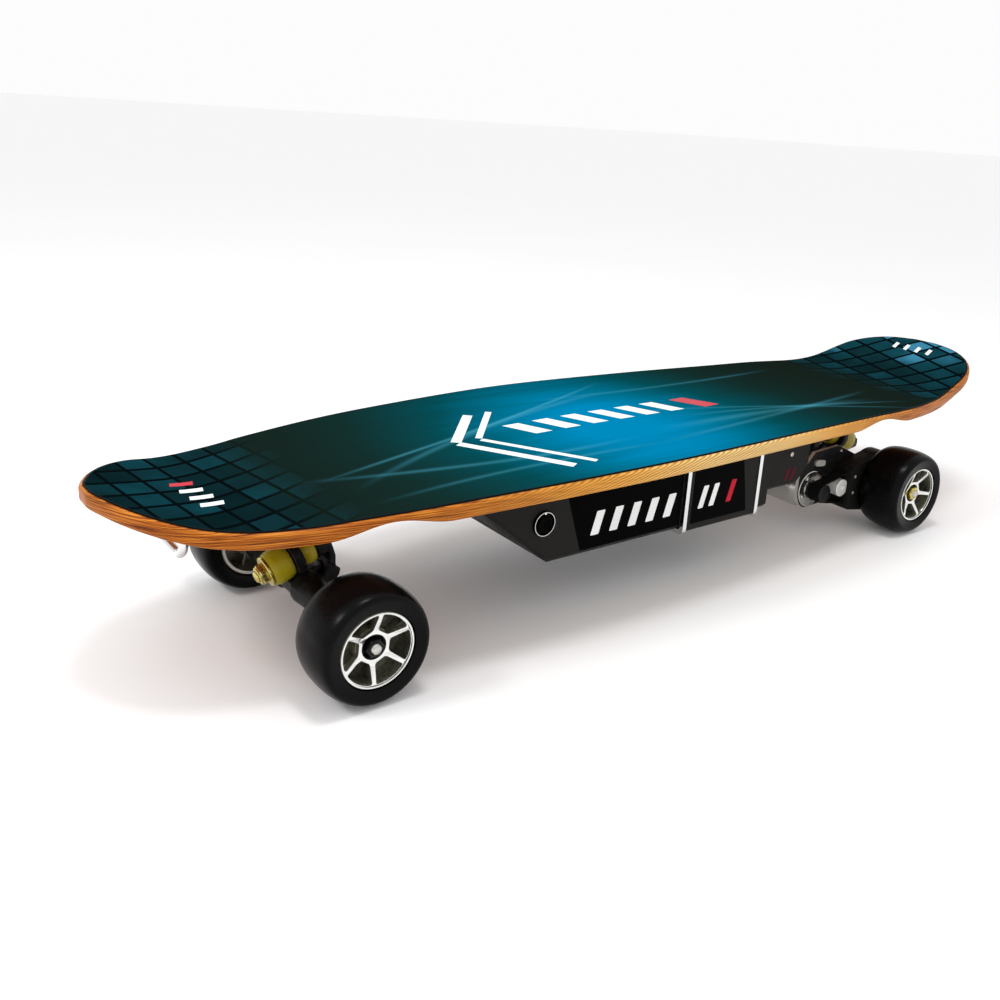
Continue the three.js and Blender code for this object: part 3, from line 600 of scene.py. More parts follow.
# ---- deck and print ----
# Thickness, radius of the edge, and steps from one CAD station to the next.
DECK_T = 12.0
EDGE_R = 2.6
FINE = 4
# Places across the underside, and how far in from the edge the relief over the wheels reaches and fades.
WELL_INSETS = (14.0, 26.0, 38.0, 50.0)
WELL_REACH = 48.0
WELL_RUN = 44.0


def deck_outline():
    """(x, half width, top) from tail to nose, smoothed through the CAD deck's own stations."""
    stations = {}
    for p in points("deck"):
        key = round(p.x, 1)
        width, top = stations.get(key, (0.0, 0.0))
        stations[key] = (max(width, abs(p.y)), max(top, p.z))
    wanted = sorted({round(p.x, 1) for p in points("printed_sheet")})
    rough = [(x, *stations[x]) for x in wanted]
    tail, nose = rough[0], rough[-1]
    rough = [(tail[0] + 0.05, 0.0, tail[2])] + rough + [(nose[0] - 0.05, 0.0, nose[2])]
    out = []
    for i in range(len(rough) - 1):
        a, b = rough[max(i - 1, 0)], rough[i]
        c, d = rough[i + 1], rough[min(i + 2, len(rough) - 1)]
        for k in range(FINE):
            t = k / FINE
            out.append(tuple(
                0.5 * (2 * b[m] + (c[m] - a[m]) * t + (2 * a[m] - 5 * b[m] + 4 * c[m] - d[m]) * t * t
                       + (3 * b[m] - a[m] - 3 * c[m] + d[m]) * t ** 3)
                for m in range(3)))
    out.append(rough[-1])
    half, wide = corners("deck")[1].xy
    return [(min(max(x, -half), half), min(max(w, 0.0), wide), z) for x, w, z in out]


OUTLINE = deck_outline()


def deck_top(x):
    """Height of the deck's top at a station along X."""
    for a, b in zip(OUTLINE, OUTLINE[1:]):
        if a[0] <= x <= b[0] and b[0] > a[0]:
            return a[2] + (b[2] - a[2]) * (x - a[0]) / (b[0] - a[0])
    return OUTLINE[0][2] if x < 0 else OUTLINE[-1][2]


def inward(i):
    """Unit normal of the outline at point i, pointing into the deck, for the left half."""
    a = OUTLINE[max(i - 1, 0)]
    b = OUTLINE[min(i + 1, len(OUTLINE) - 1)]
    if i == 0:
        return Vector((1, 0))
    if i == len(OUTLINE) - 1:
        return Vector((-1, 0))
    along = Vector((b[0] - a[0], b[1] - a[1])).normalized()
    return Vector((along.y, -along.x))


# Relief over the wheels: its middle along X, half length and depth.
WELLS = ((centre("front_axle").x - 22.0, 46.0, 7.0), (centre("rear_axle").x + 62.7, 52.0, 7.0))


def well(x):
    """Depth of the relief over the wheels, in the underside at a station along X."""
    depth = 0.0
    for middle, half, deep in WELLS:
        t = abs(x - middle) / half
        if t < 1:
            depth = max(depth, deep * cos(t * pi / 2) ** 2)
    return depth


def ease(t):
    t = min(max(t, 0.0), 1.0)
    return t * t * (3 - 2 * t)


def inset_point(i, inset):
    x, width, _ = OUTLINE[i]
    normal = inward(i)
    return x + normal.x * inset, max(width + normal.y * inset, 0.0)


def mirrored(half):
    return [(x, -y, z) for x, y, z in reversed(half)]


def deck():
    rings = []
    for i, (x, width, _) in enumerate(OUTLINE):
        half = []
        lift = well(x)

        def under(y, x_here):
            return deck_top(x_here) - DECK_T + lift * ease((y - width + WELL_REACH) / WELL_RUN)

        for k in range(8):
            upper = k < 4
            a = pi / 2 * (1 - k / 3 if upper else (k - 4) / 3)
            px, py = inset_point(i, EDGE_R * (1 - cos(a)))
            rise = EDGE_R * (1 - sin(a))
            half.append((px, py, deck_top(px) - rise if upper else under(py, px) + rise))
        px, last = inset_point(i, EDGE_R)
        for inset in WELL_INSETS:
            py = max(last - inset, last * (0.66 - inset / 80))
            half.append((px, py, under(py, px)))
        rings.append(half + mirrored(half))
    size = len(rings[0])

    def ply_place(p):
        return p.x * MM, (p.z - deck_top(p.x) + DECK_T) / DECK_T

    shape = Shape().skin(rings, lambda j: 0 if j < 7 or size - 8 <= j < size - 1 else 1)
    make("deck_plywood", shape, "board", ("edge", "face"), "deck", uv=ply_place, sharp=50)


SHEET_INSET = 2.7
BORDER = 1.5


def print_height():
    """How far the print's top stands above the deck's."""
    return corners("printed_sheet")[1].z - corners("deck")[1].z


def printed_sheet():
    above = print_height()
    rings = []
    for i in range(len(OUTLINE)):
        half = []
        for inset, height in ((SHEET_INSET + BORDER, above), (SHEET_INSET + 0.3, above),
                              (SHEET_INSET, above - 0.3), (SHEET_INSET, 0.0)):
            px, py = inset_point(i, inset)
            half.append((px, py, deck_top(px) + height))
        rings.append(half + mirrored(half))
    last = len(rings[0]) - 1
    shape = Shape().skin(rings, lambda j: 0 if j == last else 1)
    make("print_film", shape, "board", ("print", "border"), "printed_sheet", sharp=60)


def bar_marks():
    """Plain slanted bars and a chevron in white and red: a generic graphic with no letters."""
    shape = Shape()
    lift = print_height()

    def ribbon(start, end, width, mark=0, lean=0.0, pieces=10):
        """A flat bar from start to end in plan; lean slants its two ends."""
        a, b = Vector(start), Vector(end)
        along = (b - a).normalized()
        side = Vector((-along.y, along.x)) * width / 2
        rings = []
        for k in range(pieces + 1):
            middle = a.lerp(b, k / pieces)
            left, right = middle + side + along * lean, middle - side - along * lean
            rings.append([(p.x, p.y, deck_top(p.x) + lift + h) for p, h in
                          ((left, -0.1), (left, 0.06), (right, 0.06), (right, -0.1))])
        shape.loft(rings, mark)

    for k in range(6):
        x = 123.0 - 33.0 * k
        ribbon((x + 7.0, -15.0), (x - 7.0, 17.0), 16.0, 0, 3.6)
    ribbon((-77.0, -15.0), (-95.0, 19.0), 19.0, 1, 4.2)
    for tip, width in ((200.0, 9.0), (177.0, 6.0)):
        ribbon((tip, 4.0), (tip - 52.0, -56.0), width)
        ribbon((tip, 8.0), (tip - 52.0, 98.0), width)
    for k in range(4):
        y = 30.0 - 15.0 * k
        ribbon((427.0 + 2.0 * k, y), (409.0 + 2.0 * k, y - 3.0), 7.0, 0 if k < 3 else 1, 1.6, 4)
    for k in range(4):
        y = -26.0 + 15.0 * k
        ribbon((-475.0, y), (-463.0, y + 2.0), 5.0, 0, 1.2, 4)
    make("deck_bars", shape, "board", ("white", "red"), sharp=30)


# ---- wheels ----
TYRE_STEPS = 44
SPOKES = 6
SPOKE_Y = (15.2, 20.8)
SPOKE_PHASES = {"front_left": -5.0, "rear_left": 22.0, "front_right": 14.0, "rear_right": 41.0}
HUB_DISH = 5.0


def tyre_profile(radius, half, rim):
    """Crowned tread, soft shoulders and a shallow step down to the hub."""
    out = []
    for i in range(TYRE_STEPS + 1):
        t = 1 - 2 * i / TYRE_STEPS
        edge = abs(t) ** 2.4
        out.append((radius - 5.8 * (1 - (1 - edge) ** 0.55), t * half))
    side = [(rim + 0.4, half - 3.0), (rim + 0.6, half - 1.4), (rim + 1.4, half - 0.9),
            (rim + 6.2, half - 0.7), (rim + 7.6, half - 0.15)]
    return [(rim, half - 3.0)] + side + out + [(r, -y) for r, y in reversed(side)] + [(rim, 3.0 - half)]


def pocket(start, end):
    """One opening between two spokes, as a rounded outline in X and Z."""
    inner, outer = 12.8, 26.7
    near, far = 2.1, 1.6
    ends = []
    for angle, sign in ((start, 1), (end, -1)):
        along = Vector((sin(radians(angle)), cos(radians(angle))))
        across = Vector((along.y, -along.x)) * sign
        ends.append((along * inner + across * near, along * sqrt(outer ** 2 - far ** 2) + across * far))
    (low_a, high_a), (low_b, high_b) = ends
    first, last = (degrees(atan2(high.x, high.y)) for high in (high_a, high_b))
    if last < first:
        last += 360.0
    turns = [radians(first + (last - first) * k / 6) for k in range(1, 6)]
    arc = [(outer * sin(a), outer * cos(a)) for a in turns]
    corner_points = [tuple(low_a), tuple(high_a), *arc, tuple(high_b), tuple(low_b)]
    return rounded(corner_points, [3.2, 8.0, 1, 1, 1, 1, 1, 8.0, 3.2])


def hub(name, body, place, node):
    shape = Shape()
    rim, half = 29.0, 22.0
    shape.turn([(25.7, -half + 0.6), (26.4, -half), (rim - 0.6, -half), (rim, -half + 0.6),
                (rim, half - 0.6), (rim - 0.7, half), (27.9, half), (27.5, half - 0.5),
                (27.0, 12.0), (25.4, -10.0)], 0, place)
    shape.turn([(rim - 0.45, half + 0.02), (rim - 0.9, half + 0.24), (27.9, half + 0.24), (27.3, half - 0.1),
                (27.7, half - 0.4), (rim - 0.9, half - 0.4)], 1, place)
    shape.turn([(25.9, -half - 0.1), (28.2, -half - 0.1), (28.2, -half + 0.4), (25.9, -half + 0.4)], 1, place)
    shape.turn([(11.0, -13.8), (14.2, -13.8), (14.6, -12.0), (14.4, 10.0), (13.4, 12.4),
                (11.4, 12.4), (11.0, 12.0)], 0, place)
    shape.turn([(14.0, 1.8), (26.4, 1.8), (26.4, 4.8), (14.0, 4.8)], 0, place)
    openings = [pocket(60.0 * k, 60.0 * (k + 1)) for k in range(SPOKES)]

    def dished(x, y, z):
        return x, y - HUB_DISH * ease((26.0 - hypot(x, z)) / 15.0), z

    outlines = [circle(28.3, 96), circle(9.5, 40), *openings]
    shape.plate(outlines, *SPOKE_Y, 0.45, SPOKE_Y[1] - 0.5, 1, place, dished)
    shape.slabs_round(SPOKES, wedge(0.9, 14.0, 1.1, 26.8, 0.4, 2), -10.0, 12.0, 0, place)
    make(name, shape, body, ("pocket", "machined"), node, sharp=30, weld=0.01)


def bearing(name, body, place, node):
    face = [(4.4, 10.2), (5.2, 11.4), (6.9, 11.4), (7.0, 10.6), (9.2, 10.2), (9.4, 9.8), (10.8, 9.8)]
    shape = Shape().turn(both_ends(face), 0, place)
    make(name, shape, body, "dark_steel", node, sharp=30)


def hex_nut(shape, radius, bore, y0, y1, place, chamfer=0.9):
    """A nut about Y whose corners are turned down at both ends."""
    sides = 36
    rings = []
    for y, cut in ((y0, chamfer), (y0 + chamfer * 0.6, 0.0), (y1 - chamfer * 0.6, 0.0), (y1, chamfer)):
        ring = []
        for i in range(sides):
            a = 2 * pi * i / sides
            flat = radius * cos(pi / 6) / cos((a % (pi / 3)) - pi / 6)
            r = min(flat, radius - cut)
            ring.append((r * cos(a), y, r * sin(a)))
        rings.append(ring)
    inner = [[(x, y, z) for x, z in circle(bore, sides)] for y in (y1, y0)]
    shape.loft(rings + inner, 0, True, place)


def wheels():
    for end in ENDS:
        for side, sign in SIDES:
            label = f"{end}_{side}"
            body = f"{label}_wheel"
            flip = turned(pi, "X") if sign < 0 else Matrix.Identity(4)
            place = shift(centre(f"{label}_tyre")) @ flip @ turned(radians(SPOKE_PHASES[label]), "Y")
            _, half, radius = halves(f"{label}_tyre")
            tyre = Shape().turn(tyre_profile(radius, half, 29.4), 0, place, 160)
            make(f"{label}_tyre_moulded", tyre, body, "tyre", f"{label}_tyre", sharp=40)
            hub(f"{label}_hub_machined", body, place, f"{label}_hub")
            bearing(f"{label}_bearing_shielded", body, place, f"{label}_bearing")
            outward = shift(centre(f"{label}_axle_nut")) @ flip
            half = halves(f"{label}_axle_nut").y
            nut = Shape()
            hex_nut(nut, 7.3, 4.35, -half, half - 0.9, outward)
            nut.turn([(4.35, half - 1.2), (5.9, half - 1.2), (5.9, half - 0.3), (5.2, half), (4.35, half)],
                     0, outward)
            look = "dark_steel" if end == "front" else "zinc"
            make(f"{label}_axle_locknut", nut, f"{end}_truck", look, f"{label}_axle_nut", bevel=0.15)


# ---- trucks ----
def axle(end):
    _, half, radius = halves(f"{end}_axle")
    profile = [(0, -half), (radius - 0.9, -half)]
    thread, pitch = 10.0, 0.5
    for k in range(int(thread / pitch)):
        profile.append((radius - (0.1 if k % 2 else 0.5), -half + 0.6 + k * pitch))
    profile.append((radius, -half + 0.6 + thread))
    shape = Shape().turn(both_ends(profile), 0, shift(centre(f"{end}_axle")), 48)
    make(f"{end}_axle_turned", shape, f"{end}_truck", "steel", f"{end}_axle", sharp=60)


def kingpin_stack(end):
    """Kingpin, nut and both bushings, measured along the line through the two bushings."""
    upper, lower = centre(f"{end}_bushing_upper"), centre(f"{end}_bushing_lower")
    down = (lower - upper).normalized()
    place = shift(upper) @ facing(down)
    pin_look, nut_look, nut_slot = "zinc", "zinc", "zinc"
    if end == "rear":
        pin_look, nut_look, nut_slot = "steel", "dark_steel", "black_paint"

    start, stop, radius = reach(f"{end}_kingpin", upper, down)
    profile = [(0, start), (radius, start), (radius, stop - 12.0)]
    for k in range(18):
        profile.append((radius - (0.05 if k % 2 else 0.5), stop - 11.6 + k * 0.6))
    profile += [(radius - 1.0, stop), (0, stop)]
    pin = Shape().turn(profile, 0, place, 40)
    make(f"{end}_kingpin_bolt", pin, "board", pin_look, f"{end}_kingpin", sharp=60)

    start, stop, radius = reach(f"{end}_kingpin_nut", upper, down)
    nut = Shape()
    nut.turn([(5.1, start + 0.3), (radius - 4.0, start), (radius - 0.6, start), (radius, start + 0.6),
              (radius, start + 1.9), (radius - 0.7, start + 2.4), (5.1, start + 2.4)], 0, place, 64)
    hex_nut(nut, 8.8, 5.1, start + 2.3, stop - 1.4, place, 1.1)
    nut.turn([(5.1, stop - 1.8), (7.2, stop - 1.8), (7.2, stop - 0.5), (6.4, stop), (5.1, stop)],
             0, place, 48)
    make(f"{end}_kingpin_locknut", nut, "board", nut_look, f"{end}_kingpin_nut", bevel=0.2)

    for part in ("upper", "lower"):
        node = f"{end}_bushing_{part}"
        start, stop, radius = reach(node, upper, down)
        belly = []
        for k in range(13):
            t = k / 12
            swell = 0.9 * (1 - (2 * t - 1) ** 2) ** 0.5 if part == "lower" else 0.5 * sin(pi * t)
            belly.append((radius - 0.95 + swell, start + 2.2 + (stop - start - 4.4) * t))
        profile = [(5.1, start + 0.6), (5.9, start), (radius - 2.6, start), (radius - 1.3, start + 0.7),
                   *belly, (radius - 1.3, stop - 0.7), (radius - 2.6, stop), (5.9, stop), (5.1, stop - 0.6)]
        shape = Shape().turn(profile, 0, place, 72)
        make(f"{end}_bushing_{part}_urethane", shape, "board", "urethane", node, sharp=45)


def deck_bolts(end):
    for k in range(1, 5):
        node = f"{end}_bolt_{k}"
        low, high = corners(node)
        x, y, _ = centre(node)
        length = high.z - low.z
        profile = [(0, 1.6), (2.4, 1.6), (2.7, 0.2), (4.1, 0.0), (4.5, 0.4), (4.6, 3.0), (2.5, 3.0),
                   (2.5, length - 0.4), (2.1, length), (0, length)]
        shape = Shape().turn(profile, 0, shift((x, y, low.z)) @ turned(pi / 2, "X"), 40)
        make(f"{end}_deck_bolt_{k}", shape, "board", "steel", node, sharp=30)


def trucks():
    for end in ENDS:
        keep(f"{end}_baseplate", "cast", 0.8)
        keep(f"{end}_hanger", "cast", 0.8)
        keep(f"{end}_riser", "rubber")
        axle(end)
        kingpin_stack(end)
        deck_bolts(end)


# ---- belt drive ----
def screw(shape, at, radius, height, mark, direction=(0, 1, 0)):
    """A socket screw head standing on a surface, facing along a direction."""
    well_r, floor = radius * 0.5, height * 0.4
    shape.turn([(0, -0.6), (radius * 0.8, -0.6), (radius, 0.0), (radius, height * 0.75),
                (radius * 0.86, height), (well_r, height), (well_r * 0.94, floor), (0, floor)],
               mark, shift(at) @ facing(Vector(direction)), 24)


def motor():
    radius, length, place = standing("motor")
    can = Shape()
    can.turn([(0, 1.2), (8.0, 1.2), (8.6, 0.0), (16.4, 0.0), (radius - 1.2, 4.6), (radius, 7.4),
              (radius, 15.0), (radius - 0.5, 15.4), (radius - 0.5, 16.6), (radius, 17.0),
              (radius, length - 7.2), (radius - 0.7, length - 5.8), (19.2, length - 0.2),
              (18.4, length), (0, length)], 0, place)
    can.slabs_round(8, wedge(2.0, 10.2, 3.2, 15.2, 1.2, 3), -0.02, 0.25, 1, place)
    make("motor_can", can, "rear_truck", ("steel", "dark_steel"), "motor", sharp=32)

    _, length, place = standing("motor_pulley")
    pinion = Shape()
    pinion.turn([(0, 0), (3.6, 0), (4, 0.5), (4, 12.0), (9.4, 12.0), (9.9, 12.4), (9.9, 15.1), (9.5, 15.4),
                 (7.4, 15.4), (7.4, 28.6), (9.5, 28.6), (9.9, 29.0), (9.9, length - 0.4), (9.4, length),
                 (4.0, length), (3.4, length - 0.8), (0, length - 0.8)], 0, place, 48)
    pinion.slabs_round(16, wedge(0.6, 7.2, 0.35, 8.0, 0.15, 2), 15.3, 28.7, 0, place)
    make("motor_pulley_toothed", pinion, "drive_pinion", "dark_steel", "motor_pulley", sharp=32)


def plate_outline():
    """The motor plate's edge, read off the CAD plate's own flat face, in order round it."""
    face_y = corners("motor_plate")[0].y
    hub_x = centre("rear_axle").x
    can = centre("motor")
    out = []
    for p in points("motor_plate"):
        near_axle = hypot(p.x - hub_x, p.z - can.z) < 12.0
        near_motor = hypot(p.x - can.x, p.z - can.z) < 7.0
        spot = (round(p.x, 1), round(p.z, 1))
        if abs(p.y - face_y) < 0.05 and not near_axle and not near_motor and spot not in out:
            out.append(spot)
    middle_x, middle_z = (sum(column) / len(out) for column in zip(*out))
    return sorted(out, key=lambda s: atan2(s[1] - middle_z, s[0] - middle_x))


def motor_plate():
    low, high = corners("motor_plate")
    can, wheel_axle = centre("motor"), centre("rear_axle")
    front = low.y + 4.0
    holes = [ring_at(wheel_axle, 11.3, 40), ring_at(can, 6.0, 40)]
    shape = Shape().plate([rounded(plate_outline(), 2.0, 3), *holes], low.y, front, 0.5, front - 0.2, 1)
    length = high.y - front
    shape.turn([(0, 0), (9.4, 0), (9.5, 0.4), (9.5, 4.0), (9.1, 4.4), (9.1, 5.2), (9.5, 5.6),
                (9.5, length - 0.4), (8.8, length + 0.3), (2.8, length + 0.3), (2.5, length - 1.4),
                (0, length - 1.4)],
               3, shift((wheel_axle.x + 61.0, front - 0.5, can.z + 1.0)), 64)
    shape.turn([(6.2, -0.3), (19.8, -0.3), (19.8, 0.3), (19.2, 0.7), (17.4, 0.7), (17.0, 0.3), (10.4, 0.3),
                (10.0, 1.1), (7.0, 1.1), (6.2, 0.6)], 2, shift((can.x, front, can.z)), 72)
    for angle in (60, 150, 240, 330):
        a = radians(angle)
        screw(shape, Vector((can.x + 14.5 * cos(a), front, can.z + 14.5 * sin(a))), 2.9, 2.2, 2)
    screw(shape, Vector((wheel_axle.x + 48.0, front, can.z + 36.5)), 2.4, 1.6, 2)
    boss_x, boss_z = wheel_axle.x + 84.0, can.z + 27.4
    boss = [(boss_x + x, boss_z + z) for x, z in ((-8.0, -3.6), (8.0, -1.6), (8.0, 5.0), (-8.0, 3.0))]
    shape.slab(rounded(boss, 3.2, 5), front - 0.3, front + 2.4)
    make("motor_plate_machined", shape, "rear_truck", ("alloy", "cast", "steel", "bright"),
         "motor_plate", sharp=30, weld=0.01)


def wheel_pulley():
    _, length, place = standing("wheel_pulley")
    shape = Shape()
    shape.turn([(12.4, 0.4), (12.8, 0), (27.9, 0), (28.3, 0.4), (28.3, 1.3), (27.9, 1.6), (25.2, 1.6),
                (25.2, 14.8), (27.9, 14.8), (28.3, 15.2), (28.3, 16.1), (27.9, 16.4), (17.4, 16.4),
                (17.0, 16.8), (17.0, length - 0.5), (16.5, length), (12.8, length),
                (12.4, length - 0.4)], 0, place)
    shape.slabs_round(52, wedge(0.8, 24.9, 0.5, 25.95, 0.2, 2), 1.5, 14.9, 0, place)
    make("wheel_pulley_toothed", shape, "rear_left_wheel", "dark_steel", "wheel_pulley",
         sharp=32)


def belt_loop(big, small, start, end):
    """Outline of a belt round two circles whose centres lie at start and end along X."""
    lean = acos((big - small) / (end.x - start.x))
    out = []
    for middle, radius, first, sweep, count in ((start, big, lean, 2 * pi - 2 * lean, 72),
                                                (end, small, -lean, 2 * lean, 24)):
        for i in range(count + 1):
            a = first + sweep * i / count
            out.append((middle.x + radius * cos(a), middle.z + radius * sin(a)))
    return out


def drive_belt():
    low, high = corners("drive_belt")
    start, end = centre("wheel_pulley"), centre("motor_pulley")
    outer, inner = belt_loop(28.4, 10.4, start, end), belt_loop(26.6, 8.6, start, end)
    y0, y1 = low.y + 0.2, high.y - 0.2
    shape = Shape().loft([[(x, y, z) for x, z in loop] for loop, y in
                          ((outer, y0 + 0.3), (outer, y1 - 0.3), (inner, y1), (inner, y0))], 0, True)
    make("drive_belt_rubber", shape, "rear_truck", "rubber", "drive_belt", sharp=50)


def belt_guard():
    low, high = corners("belt_guard")
    middle = centre("wheel_pulley")
    radius = halves("belt_guard").z - 0.1
    nose = high.x - middle.x - 0.1
    cover = [(middle.x + nose, middle.z - 23.8), (middle.x + nose, middle.z + 23.8)]
    for i in range(41):
        a = radians(68 + 224 * i / 40)
        cover.append((middle.x + radius * cos(a), middle.z + radius * sin(a)))
    cover = rounded(cover, [5.0, 5.0] + [1.0] * 41, 4)
    inner = [(middle.x + (x - middle.x) * 0.93, middle.z + (z - middle.z) * 0.93) for x, z in cover]
    shape = Shape()
    for hole, y0, y1, bevel in ((ring_at(middle, 18.4, 56), high.y - 2.2, high.y, 0.5),
                                (inner, low.y, high.y - 1.6, 0.3)):
        shape.plate([cover, hole], y0, y1, bevel, y1, 0)
    shape.turn([(18.5, -0.2), (20.6, -0.2), (20.6, 0.0), (20.0, 0.0), (18.5, 0.0)], 0,
               shift((middle.x, high.y, middle.z)), 56)
    tab = nose - 7.0
    for x, z, size, tall in ((tab, 13.0, 2.1, 1.1), (tab, -5.0, 2.1, 1.1), (12.0, 27.0, 1.9, 0.9)):
        screw(shape, Vector((middle.x + x, high.y - 0.1, middle.z + z)), size, tall, 1)
    make("belt_guard_moulded", shape, "rear_truck", ("plastic", "steel"), "belt_guard",
         sharp=32, weld=0.01)


# ---- battery box ----
BOX_CHAMFER = 4.0
SEAT_GAP = 0.3


def under_deck(x):
    return deck_top(x) - DECK_T - SEAT_GAP


def trough(x, half, low):
    """One section across a box: flat bottom, chamfered corners, straight sides up to the deck."""
    top = under_deck(x)
    chamfer = min(BOX_CHAMFER, max(top - low, 0.2) * 0.45)
    low = min(low, top - 0.2)
    return [(x, -half, top), (x, -half, low + chamfer), (x, -half + chamfer, low), (x, half - chamfer, low),
            (x, half, low + chamfer), (x, half, top)]


def stations(low, high, step):
    count = max(1, round((high - low) / step))
    return [low + (high - low) * i / count for i in range(count + 1)]


def battery_box():
    low, high = corners("battery_box")
    bend = max(p.x for p in points("battery_box") if p.z < low.z + 1.0)
    slope_end = high.x - 0.5
    rings = []
    for x in stations(low.x, bend, 12.0)[:-1] + stations(bend, slope_end, 6.0):
        climb = max(0.0, (x - bend) / (slope_end - bend))
        rings.append(trough(x, high.y, low.z + (under_deck(slope_end) - low.z) * climb))
    make("box_shell", Shape().loft(rings), "board", "plastic", "battery_box",
         bevel=1.1, sharp=50)


# Label on the box's side: its foot, the gap above it, its nose end, the slant of that end, and its thickness.
LABEL_FOOT = 62.5
LABEL_HEAD_GAP = 5.0
LABEL_NOSE = 153.0
LABEL_SLANT = 20.0
LABEL_THICK = 0.16


def layer(side, inner, outer):
    """The two values of Y of a thin layer on the left or right side, lower one first."""
    return sorted((side * inner, side * outer))


def side_panel(name, x0, x1, slant0, slant1, y, side):
    """A thin glossy label on a vertical side, with slanted ends and a rounded rim."""
    head0, head1 = under_deck(x0) - LABEL_HEAD_GAP, under_deck(x1) - LABEL_HEAD_GAP
    corner_points = [(x0 + slant0, LABEL_FOOT), (x1 + slant1, LABEL_FOOT), (x1, head1), (x0, head0)]
    shape = Shape().slab(rounded(corner_points, 1.2, 3), *layer(side, y - 0.2, y + LABEL_THICK))
    make(name, shape, "board", "label", bevel=0.1)


def slanted_bars(name, starts, width, height, lean, foot, y, side, marks):
    """Upright bars on a vertical side, with their heads shifted along X by lean."""
    shape = Shape()
    for x, mark in zip(starts, marks):
        outline = [(x, foot), (x + width, foot), (x + width + lean, foot + height), (x + lean, foot + height)]
        shape.slab(rounded(outline, 0.8, 2), *layer(side, y - 0.1, y + 0.1), mark)
    make(name, shape, "board", ("white", "red", "dim_red"), sharp=30)


def labels():
    box_y = corners("battery_box")[1].y
    strap_low, strap_high = corners("box_strap")
    trim_end = corners("front_trim")[1].x
    for side, word in ((1, "left"), (-1, "right")):
        name = f"label_{word}"
        side_panel(f"{name}_box", trim_end + 1.0, LABEL_NOSE, 0.0, -LABEL_SLANT, box_y, side)
        side_panel(f"{name}_strap", strap_low.x + 24.0, strap_high.x - 5.0, -13.0, 0.0, strap_high.y, side)
        slanted_bars(f"{name}_bars", (114.0, 93.0, 72.0, 51.0, 30.0), 9.0, 21.0, -6.0, 74.0,
                     box_y + LABEL_THICK, side, (0, 0, 0, 0, 0))
        slanted_bars(f"{name}_strap_bars", (-8.0, -22.0, -45.0), 6.5, 21.0, -6.0, 76.0,
                     strap_high.y + LABEL_THICK, side, (0, 0, 1))


def hoop(node, name, look, bevel):
    """A band under and up both sides of the box, as wide and as thick as its CAD node."""
    low, high = corners(node)
    inner_half = corners("battery_box")[1].y + SEAT_GAP
    inner_low = low.z + high.y - inner_half

    def channel(half, floor, top, radius):
        return rounded([(-half, top), (-half, floor), (half, floor), (half, top)], [0.1, radius, radius, 0.1])

    rings = []
    for x in stations(low.x, high.x, 15.0):
        top = under_deck(x)
        section = channel(high.y, low.z, top, 6.0) + channel(-inner_half, inner_low, top, 3.6)
        rings.append([(x, y, z) for y, z in section])
    make(name, Shape().loft(rings), "board", look, node, bevel=bevel, sharp=40)


def controller_cover():
    low, high = corners("controller_cover")
    floor = [p.x for p in points("controller_cover") if p.z < low.z + 0.5]
    back_foot, foot = min(floor), max(floor)
    rings = []
    for x in [low.x, *stations(back_foot, foot, 10.0)]:
        rings.append(trough(x, high.y, low.z + (14.0 if x < back_foot - 1.0 else 0.0)))
    shape = Shape().loft(rings)
    for k in range(7):
        x = back_foot + 9.0 + 5.6 * k
        slot = [(x, low.z + 12.0), (x + 1.6, low.z + 12.0), (x + 1.6, low.z + 16.0), (x, low.z + 16.0)]
        for side in (1, -1):
            shape.slab(slot, *layer(side, high.y - 0.3, high.y - 0.02))
    for side in (1, -1):
        screw(shape, Vector((back_foot + 14.0, side * high.y, low.z + 34.0)), 2.3, 1.0, 1, (0, side, 0))
    make("cover_shell", shape, "board", ("plastic", "steel"), "controller_cover",
         bevel=0.8, sharp=50)
    slanted_bars("cover_bars", (-147.0, -138.0), 5.0, 12.0, -4.0, 77.0, high.y + 0.1, 1, (2, 2))


def inner_pieces():
    for node, look in (("battery_pack", "wrap"), ("motor_controller", "alloy")):
        keep(node, look)
        soften(NODES[node], 1.0, 2)


def power_button():
    """The button and the bright ring that it sits in."""
    button = centre("power_button")
    place = shift((button.x, corners("power_button")[1].y, button.z))
    profile = [(0, -8.6), (7.2, -8.6), (7.5, -8.2), (7.5, -1.2), (7.0, -0.4), (6.2, 0.0), (5.2, -0.25),
               (0, -0.6)]
    disc = Shape().turn(profile, 0, place, 64)
    make("power_button_cap", disc, "button", "label", "power_button", sharp=30)
    radius, depth, place = standing("button_ring")
    rim = radius - 0.1
    bezel = Shape()
    bezel.turn([(8.4, 0), (rim, 0), (rim, 0.6), (rim - 0.3, depth - 0.4), (rim - 0.6, depth - 0.1),
                (rim - 1.8, depth - 0.1), (8.8, 0.9), (8.4, 0.6)], 1, place, 72)
    bezel.turn([(rim - 1.35, depth - 0.3), (rim - 0.55, depth - 0.3), (rim - 0.65, depth),
                (rim - 1.25, depth)], 0, place, 72)
    # A small white disc at the top of the ring: a painted highlight on the bright ring.
    bezel.turn([(0, -0.3), (1.1, -0.3), (1.1, 0.0), (0.8, 0.1), (0, 0.1)], 2,
               place @ shift((0, depth, rim - 1.6)), 20)
    make("button_bezel", bezel, "board", ("steel", "label", "white"), "button_ring", sharp=30)


